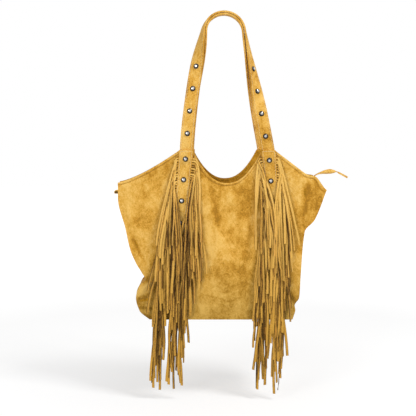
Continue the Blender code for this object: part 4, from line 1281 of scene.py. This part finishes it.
class FRINGED_BAG_OT_zip(bpy.types.Operator):
    """Adds the zip's facings, tapes, teeth and end tabs"""

    bl_idname = "fringed_bag.zip"
    bl_label = "Zip"

    def execute(self, context):
        sizes = context.scene.bag_sizes
        for side, word in ((-1, "front"), (1, "rear")):
            left = max(left_x(ZIP_Z) + FACING_END, -ZIP_LEFT + END_TAB_LENGTH + SOFT_GAP)
            right = min(right_x(ZIP_Z) - FACING_END, ZIP_RIGHT - END_TAB_LENGTH - SOFT_GAP)

            def place(u, v, w):
                x = mix(left, right, u)
                outer = inner_reach(x, ZIP_Z)
                sag = 0.35 * noise.noise(Vector((x / 22, v * 2, side * 3)))
                return x, side * mix(FACING_EDGE, outer, v), ZIP_Z - (1 - w) * FACING_THICK + sag * w

            piece(f"facing_{word}_suede", bend(strip(150, 8), place), "suede", (f"facing_{word}",))
            rows = bmesh.new()
            run = [(Vector((mix(left + 3, right - 3, i / 60), side * (FACING_EDGE + 2.4), ZIP_Z + 0.3)),
                    Vector((0, 0, 1))) for i in range(61)]
            sew(rows, run, sizes)
            piece(f"facing_{word}_stitching", rows, "thread")

            def tape_place(u, v, w):
                return (mix(-ZIP_LEFT, ZIP_RIGHT, u), side * mix(TEETH_GAP + 0.6, FACING_EDGE + TAPE_LAP, v),
                        TAPE_Z - (1 - w) * TAPE_THICK)

            bm = bend(strip(90, 5), tape_place)
            pitch = sizes.tooth_pitch * 1000
            for k in range(int((ZIP_LEFT + ZIP_RIGHT - 26) / pitch)):
                x = -ZIP_LEFT + 13 + k * pitch + (pitch / 2 if side > 0 else 0)
                size = Matrix.Diagonal((pitch * 0.55, TEETH_WIDTH, TAPE_THICK + 2 * TEETH_RISE, 1))
                at = Matrix.Translation((x, side * (TEETH_GAP + TEETH_WIDTH / 2), TAPE_Z - TAPE_THICK / 2))
                tooth = bmesh.ops.create_cube(bm, size=1, matrix=at @ size)["verts"]
                for face in {f for v in tooth for f in v.link_faces}:
                    face.material_index = 1
            piece(f"zip_half_{word}", bm, ("tape", "zip"), (f"zip_tape_{word}",), angle=30)

        for side, word, x in ((-1, "left", -ZIP_LEFT), (1, "right", ZIP_RIGHT)):
            rise = TEETH_RISE + GAP + END_TAB_THICK
            run = [(-END_TAB_LENGTH, rise)] + [
                (math.sin(a) * 1.6, -TAPE_THICK / 2 + math.cos(a) * (rise + TAPE_THICK / 2))
                for a in (math.pi * k / 8 for k in range(9))] + [(-END_TAB_LENGTH, -TAPE_THICK - rise)]

            def place(u, v, w):
                i = min(len(run) - 1, round(v * (len(run) - 1)))
                a, b = run[i]
                ahead, behind = run[min(i + 1, len(run) - 1)], run[max(i - 1, 0)]
                along = Vector((ahead[0] - behind[0], ahead[1] - behind[1])).normalized()
                inward = Vector((along.y, -along.x)) * END_TAB_THICK * (1 - w)
                wide = FACING_EDGE + TAPE_LAP
                return x + side * (a + inward.x), mix(-wide, wide, u), TAPE_Z + b + inward.y

            bm = bend(strip(12, len(run) - 1), place)
            piece(f"zip_end_{word}_suede", bm, "suede", (f"zip_end_{word}",))
        return {"FINISHED"}


def pull_run():
    """Middle line of the puller's thong, from the tab to its tail."""
    turn = math.radians(TAB_TILT)
    start = pivot() + Vector((math.cos(turn), 0, math.sin(turn))) * (TAB_LENGTH + TAB_BAR + GAP)
    rise = ((0.0, 0.0), (0.09, 8.0), (0.20, 15.0), (0.32, 18.5), (0.44, 20.5), (0.56, 21.5),
            (0.65, 21.4), (0.72, 20.8), (0.78, 18.5), (1.0, 9.0))
    return [start + Vector((PULL_REACH * i / 60, 0, through(rise, i / 60))) for i in range(61)]


def pull_height(v):
    """Height of the puller along its run: a thin thong, a folded leaf, a neck and a tail."""
    leaf, tail = PULL_LEAF, PULL_WIDTH
    return through(((0, 2.4), (0.18, 2.2), (0.32, leaf / 2), (0.44, 0.88 * leaf), (0.55, leaf),
                    (0.65, 0.66 * leaf), (0.715, 1.9), (0.735, 1.9), (0.78, tail), (1, tail)), v)


class FRINGED_BAG_OT_puller(bpy.types.Operator):
    """Adds the slider's finish, the wire tab and the folded suede puller"""

    bl_idname = "fringed_bag.puller"
    bl_label = "Slider and Puller"

    def execute(self, context):
        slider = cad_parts["zip_slider"]
        slider.data.materials.clear()
        slider.data.materials.append(finishes["zip"])

        turn = math.radians(TAB_TILT)
        ahead, up = Vector((math.cos(turn), 0, math.sin(turn))), Vector((-math.sin(turn), 0, math.cos(turn)))
        corners = []
        for a, b, first in ((0, -1, 2), (TAB_LENGTH, -1, 3), (TAB_LENGTH, 1, 0), (0, 1, 1)):
            inner = Vector((a + (1.4 if a == 0 else -1.4), b * (TAB_WIDTH / 2 - 1.4)))
            for step in range(5):
                angle = math.pi / 2 * (first + step / 4)
                corners.append(inner + Vector((math.cos(angle), math.sin(angle))) * 1.4)
        bm = bmesh.new()
        rings = []
        for i, here in enumerate(corners):
            along = (corners[(i + 1) % len(corners)] - corners[i - 1]).normalized()
            across = ahead * along.y - Vector((0, 1, 0)) * along.x
            middle = pivot() + ahead * here.x + Vector((0, here.y, 0))
            loop = [bm.verts.new(middle + (across * math.cos(a) + up * math.sin(a)) * TAB_BAR)
                    for a in (2 * math.pi * k / 10 for k in range(10))]
            rings.append([bm.edges.new((p, q)) for p, q in zip(loop, loop[1:] + loop[:1])])
        for a, b in zip(rings, rings[1:] + rings[:1]):
            bmesh.ops.bridge_loops(bm, edges=a + b)
        piece("zip_tab_wire", bm, "zip", ("zip_pull_tab",), "puller", 50)

        run = pull_run()

        def place(u, v, w):
            i = v * 60
            k = min(59, int(i))
            middle = run[k].lerp(run[k + 1], i - k)
            along = (run[min(k + 2, 60)] - run[max(k - 1, 0)]).normalized()
            over = Vector((-along.z, 0, along.x))
            tall = pull_height(v)
            leaf = smooth((tall - 3.8) / 4)
            curl = 2.2 * leaf * (1 - (2 * u - 1) ** 2) - 0.9 * leaf
            thick = mix(1.7, 1.3, leaf)
            crease = -0.5 * leaf * bell((u - 0.62) / 0.07)
            return middle + over * (u - 0.5) * tall - Vector((0, 1, 0)) * (curl + crease + (w - 0.5) * thick)

        def shade(u, v, w):
            # Painted shade in the crease of the tied neck; darker towards one long edge
            return 0.12 - 0.5 * bell((v - 0.725) / 0.02) - 0.25 * smooth((u - 0.8) / 0.2)

        thong = piece("zip_puller", bend(strip(12, 80), place, shade), "suede",
                      ("zip_pull_thong",), "puller")
        metres = [p * MM for p in run]
        length = sum((b - a).length for a, b in zip(metres, metres[1:]))
        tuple(metres[0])
        return {"FINISHED"}


# Lining

def lining_point(angle, z):
    """Point round the lining at a share of its round and a height."""
    def end(side, w):
        seam = right_x(z) - SEAM if side > 0 else left_x(z) + SEAM
        reach = inner_reach(seam, z)
        inward = gusset_fold(z, min(abs(w), 1 - LINING_INSET / reach), 0) + GUSSET_WALL + LINING_INSET
        return seam - side * inward, w * (reach - LINING_INSET)

    side = 1 if angle < 0.5 else -1
    turn = angle % 0.5
    if turn < 0.4:
        x = mix(end(-side, 1)[0], end(side, 1)[0], turn / 0.4)
        return x, -side * (half_depth(x, z) - WALL - LINING_INSET)
    return end(side, side * mix(-1, 1, (turn - 0.4) / 0.1))


class FRINGED_BAG_OT_lining(bpy.types.Operator):
    """Adds the loose cloth lining and finishes the base board"""

    bl_idname = "fringed_bag.lining"
    bl_label = "Lining"

    def execute(self, context):
        bottom = BASE_Z + BASE_WALL + BOARD_THICK + 3 * GAP + 0.6
        top = TAPE_Z + 0.2
        bm = bmesh.new()
        bm.verts.layers.float.new("shade")
        bmesh.ops.create_grid(bm, x_segments=240, y_segments=70, size=0.5)
        bmesh.ops.translate(bm, vec=(0.5, 0.5, 0), verts=bm.verts)

        def place(u, v, w):
            round_share = u % 1.0
            z = mix(bottom, top - (LINING_SIDE_DROP if round_share % 0.5 > 0.4 else 0), v)
            x, y = lining_point(round_share, z)
            fold = 0.7 * math.sin(u * 150) * smooth(v * 4) * smooth((1 - v) * 8)
            fold += 0.9 * noise.noise(Vector((x / 20, z / 34, y / 15)))
            inward = Vector((-x, -y)).normalized() * max(0.0, 1.0 + fold) * smooth(v * 12)
            return x + inward.x * 0.6, y + inward.y, z

        bend(bm, place)
        bmesh.ops.remove_doubles(bm, verts=bm.verts[:], dist=0.01)
        floor_edges = [e for e in bm.edges if e.is_boundary
                       and all(abs(v.co.z - bottom) < 0.01 for v in e.verts)]
        bmesh.ops.holes_fill(bm, edges=floor_edges, sides=0)
        bmesh.ops.recalc_face_normals(bm, faces=bm.faces[:])
        cloth = piece("lining_cloth", bm, "cloth", ("lining",))
        wall = cloth.modifiers.new("wall", "SOLIDIFY")
        wall.thickness, wall.offset = 0.0006, -1
        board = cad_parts["base_board"]
        board.data.materials.clear()
        board.data.materials.append(finishes["board"])
        return {"FINISHED"}


# Stage

class FRINGED_BAG_OT_stage(bpy.types.Operator):
    """Adds the pale floor, the studio light and the camera"""

    bl_idname = "fringed_bag.stage"
    bl_label = "Stage"

    def execute(self, context):
        scene = context.scene
        made = Finish("studio_floor", Roughness=0.9, Specular_IOR_Level=0.0)
        made.colour(tuple(scene.bag_colours.floor))
        glow = made.node("ShaderNodeEmission", inputs={"Color": (1, 1, 1), "Strength": FLOOR_GLOW})
        rays = made.node("ShaderNodeLightPath", output="Is Camera Ray")
        away = made.node("ShaderNodeVectorMath", {"operation": "LENGTH"}, {0: made.place}, output="Value")
        start, rate, rise, least = NEAR_GLOW
        near = ((away - start) * rate).limited() * rise + least
        start, rate, rise = FAR_GLOW
        far = ((away - start) * rate).limited() * rise + near
        share = made.node("ShaderNodeMixShader", inputs={
            0: far * rays, 1: Number(made, made.shader.outputs[0]), 2: glow})
        made.put(made.tree.nodes["Material Output"].inputs["Surface"], share)
        bm = bmesh.new()
        bmesh.ops.create_circle(bm, cap_ends=True, segments=96, radius=FLOOR_RADIUS)
        mesh = bpy.data.meshes.new("studio_floor")
        bm.to_mesh(mesh)
        bm.free()
        mesh.materials.append(made.material)
        floor = bpy.data.objects.new("studio_floor", mesh)
        floor.location.z = FLOOR_Z
        scene.collection.objects.link(floor)

        world = bpy.data.worlds.new("studio")
        scene.world = world
        world.use_nodes = True
        sky = Nodes(world.node_tree)
        rays = [sky.node("ShaderNodeLightPath", output=f"Is {kind} Ray") for kind in ("Camera", "Glossy")]
        seen = rays[0].worked("MAXIMUM", *rays)
        unseen_level, seen_level = SKY_LEVELS
        level = sky.node("ShaderNodeMapRange", inputs={
            "Value": seen, "To Min": unseen_level, "To Max": seen_level})
        background = sky.tree.nodes["Background"]
        sky.put(background.inputs["Strength"], level)
        sky.put(background.inputs["Color"], (1, 1, 1))

        for name, at, target, size, power in LAMPS:
            data = bpy.data.lights.new(name, "AREA")
            data.size, data.energy = size, power
            lamp = bpy.data.objects.new(name, data)
            lamp.location = at
            lamp.rotation_euler = (Vector(target) - Vector(at)).to_track_quat("-Z", "Y").to_euler()
            scene.collection.objects.link(lamp)

        data = bpy.data.cameras.new("photo_view")
        data.lens, data.sensor_width = LENS, SENSOR
        data.clip_end = 50
        camera = bpy.data.objects.new("photo_view", data)
        tilt = math.radians(CAMERA_TILT)
        back = Vector((0, -math.cos(tilt), math.sin(tilt)))
        camera.location = CAMERA_PLACE
        camera.rotation_euler = (-back).to_track_quat("-Z", "Y").to_euler()
        scene.collection.objects.link(camera)
        scene.camera = camera
        scene.view_settings.view_transform = "Standard"
        return {"FINISHED"}


STEPS = (
    FRINGED_BAG_OT_panels,
    FRINGED_BAG_OT_sides,
    FRINGED_BAG_OT_straps,
    FRINGED_BAG_OT_bands,
    FRINGED_BAG_OT_stitching,
    FRINGED_BAG_OT_studs,
    FRINGED_BAG_OT_fringe,
    FRINGED_BAG_OT_zip,
    FRINGED_BAG_OT_puller,
    FRINGED_BAG_OT_lining,
    FRINGED_BAG_OT_stage,
)


class FRINGED_BAG_PT_sidebar(bpy.types.Panel):
    """Lists the steps, sizes and colours of the bag"""

    bl_label = "Suede Bag"
    bl_idname = "FRINGED_BAG_PT_sidebar"
    bl_space_type = "VIEW_3D"
    bl_region_type = "UI"
    bl_category = "Suede Bag"

    def draw(self, context):
        column = self.layout.column(align=True)
        for step in STEPS:
            column.operator(step.bl_idname)
        for group in (context.scene.bag_sizes, context.scene.bag_colours):
            column = self.layout.column()
            for name in group.__annotations__:
                column.prop(group, name)


CLASSES = (BagSizes, BagColours, *STEPS, FRINGED_BAG_PT_sidebar)


def register():
    for cls in CLASSES:
        bpy.utils.register_class(cls)
    bpy.types.Scene.bag_sizes = bpy.props.PointerProperty(type=BagSizes)
    bpy.types.Scene.bag_colours = bpy.props.PointerProperty(type=BagColours)


def unregister():
    del bpy.types.Scene.bag_colours
    del bpy.types.Scene.bag_sizes
    for cls in reversed(CLASSES):
        bpy.utils.unregister_class(cls)


def main():
    register()
    make_finishes(bpy.context.scene.bag_colours)
    for step in STEPS:
        getattr(bpy.ops.fringed_bag, step.bl_idname.split(".")[1])()


if __name__ == "__main__":
    main()
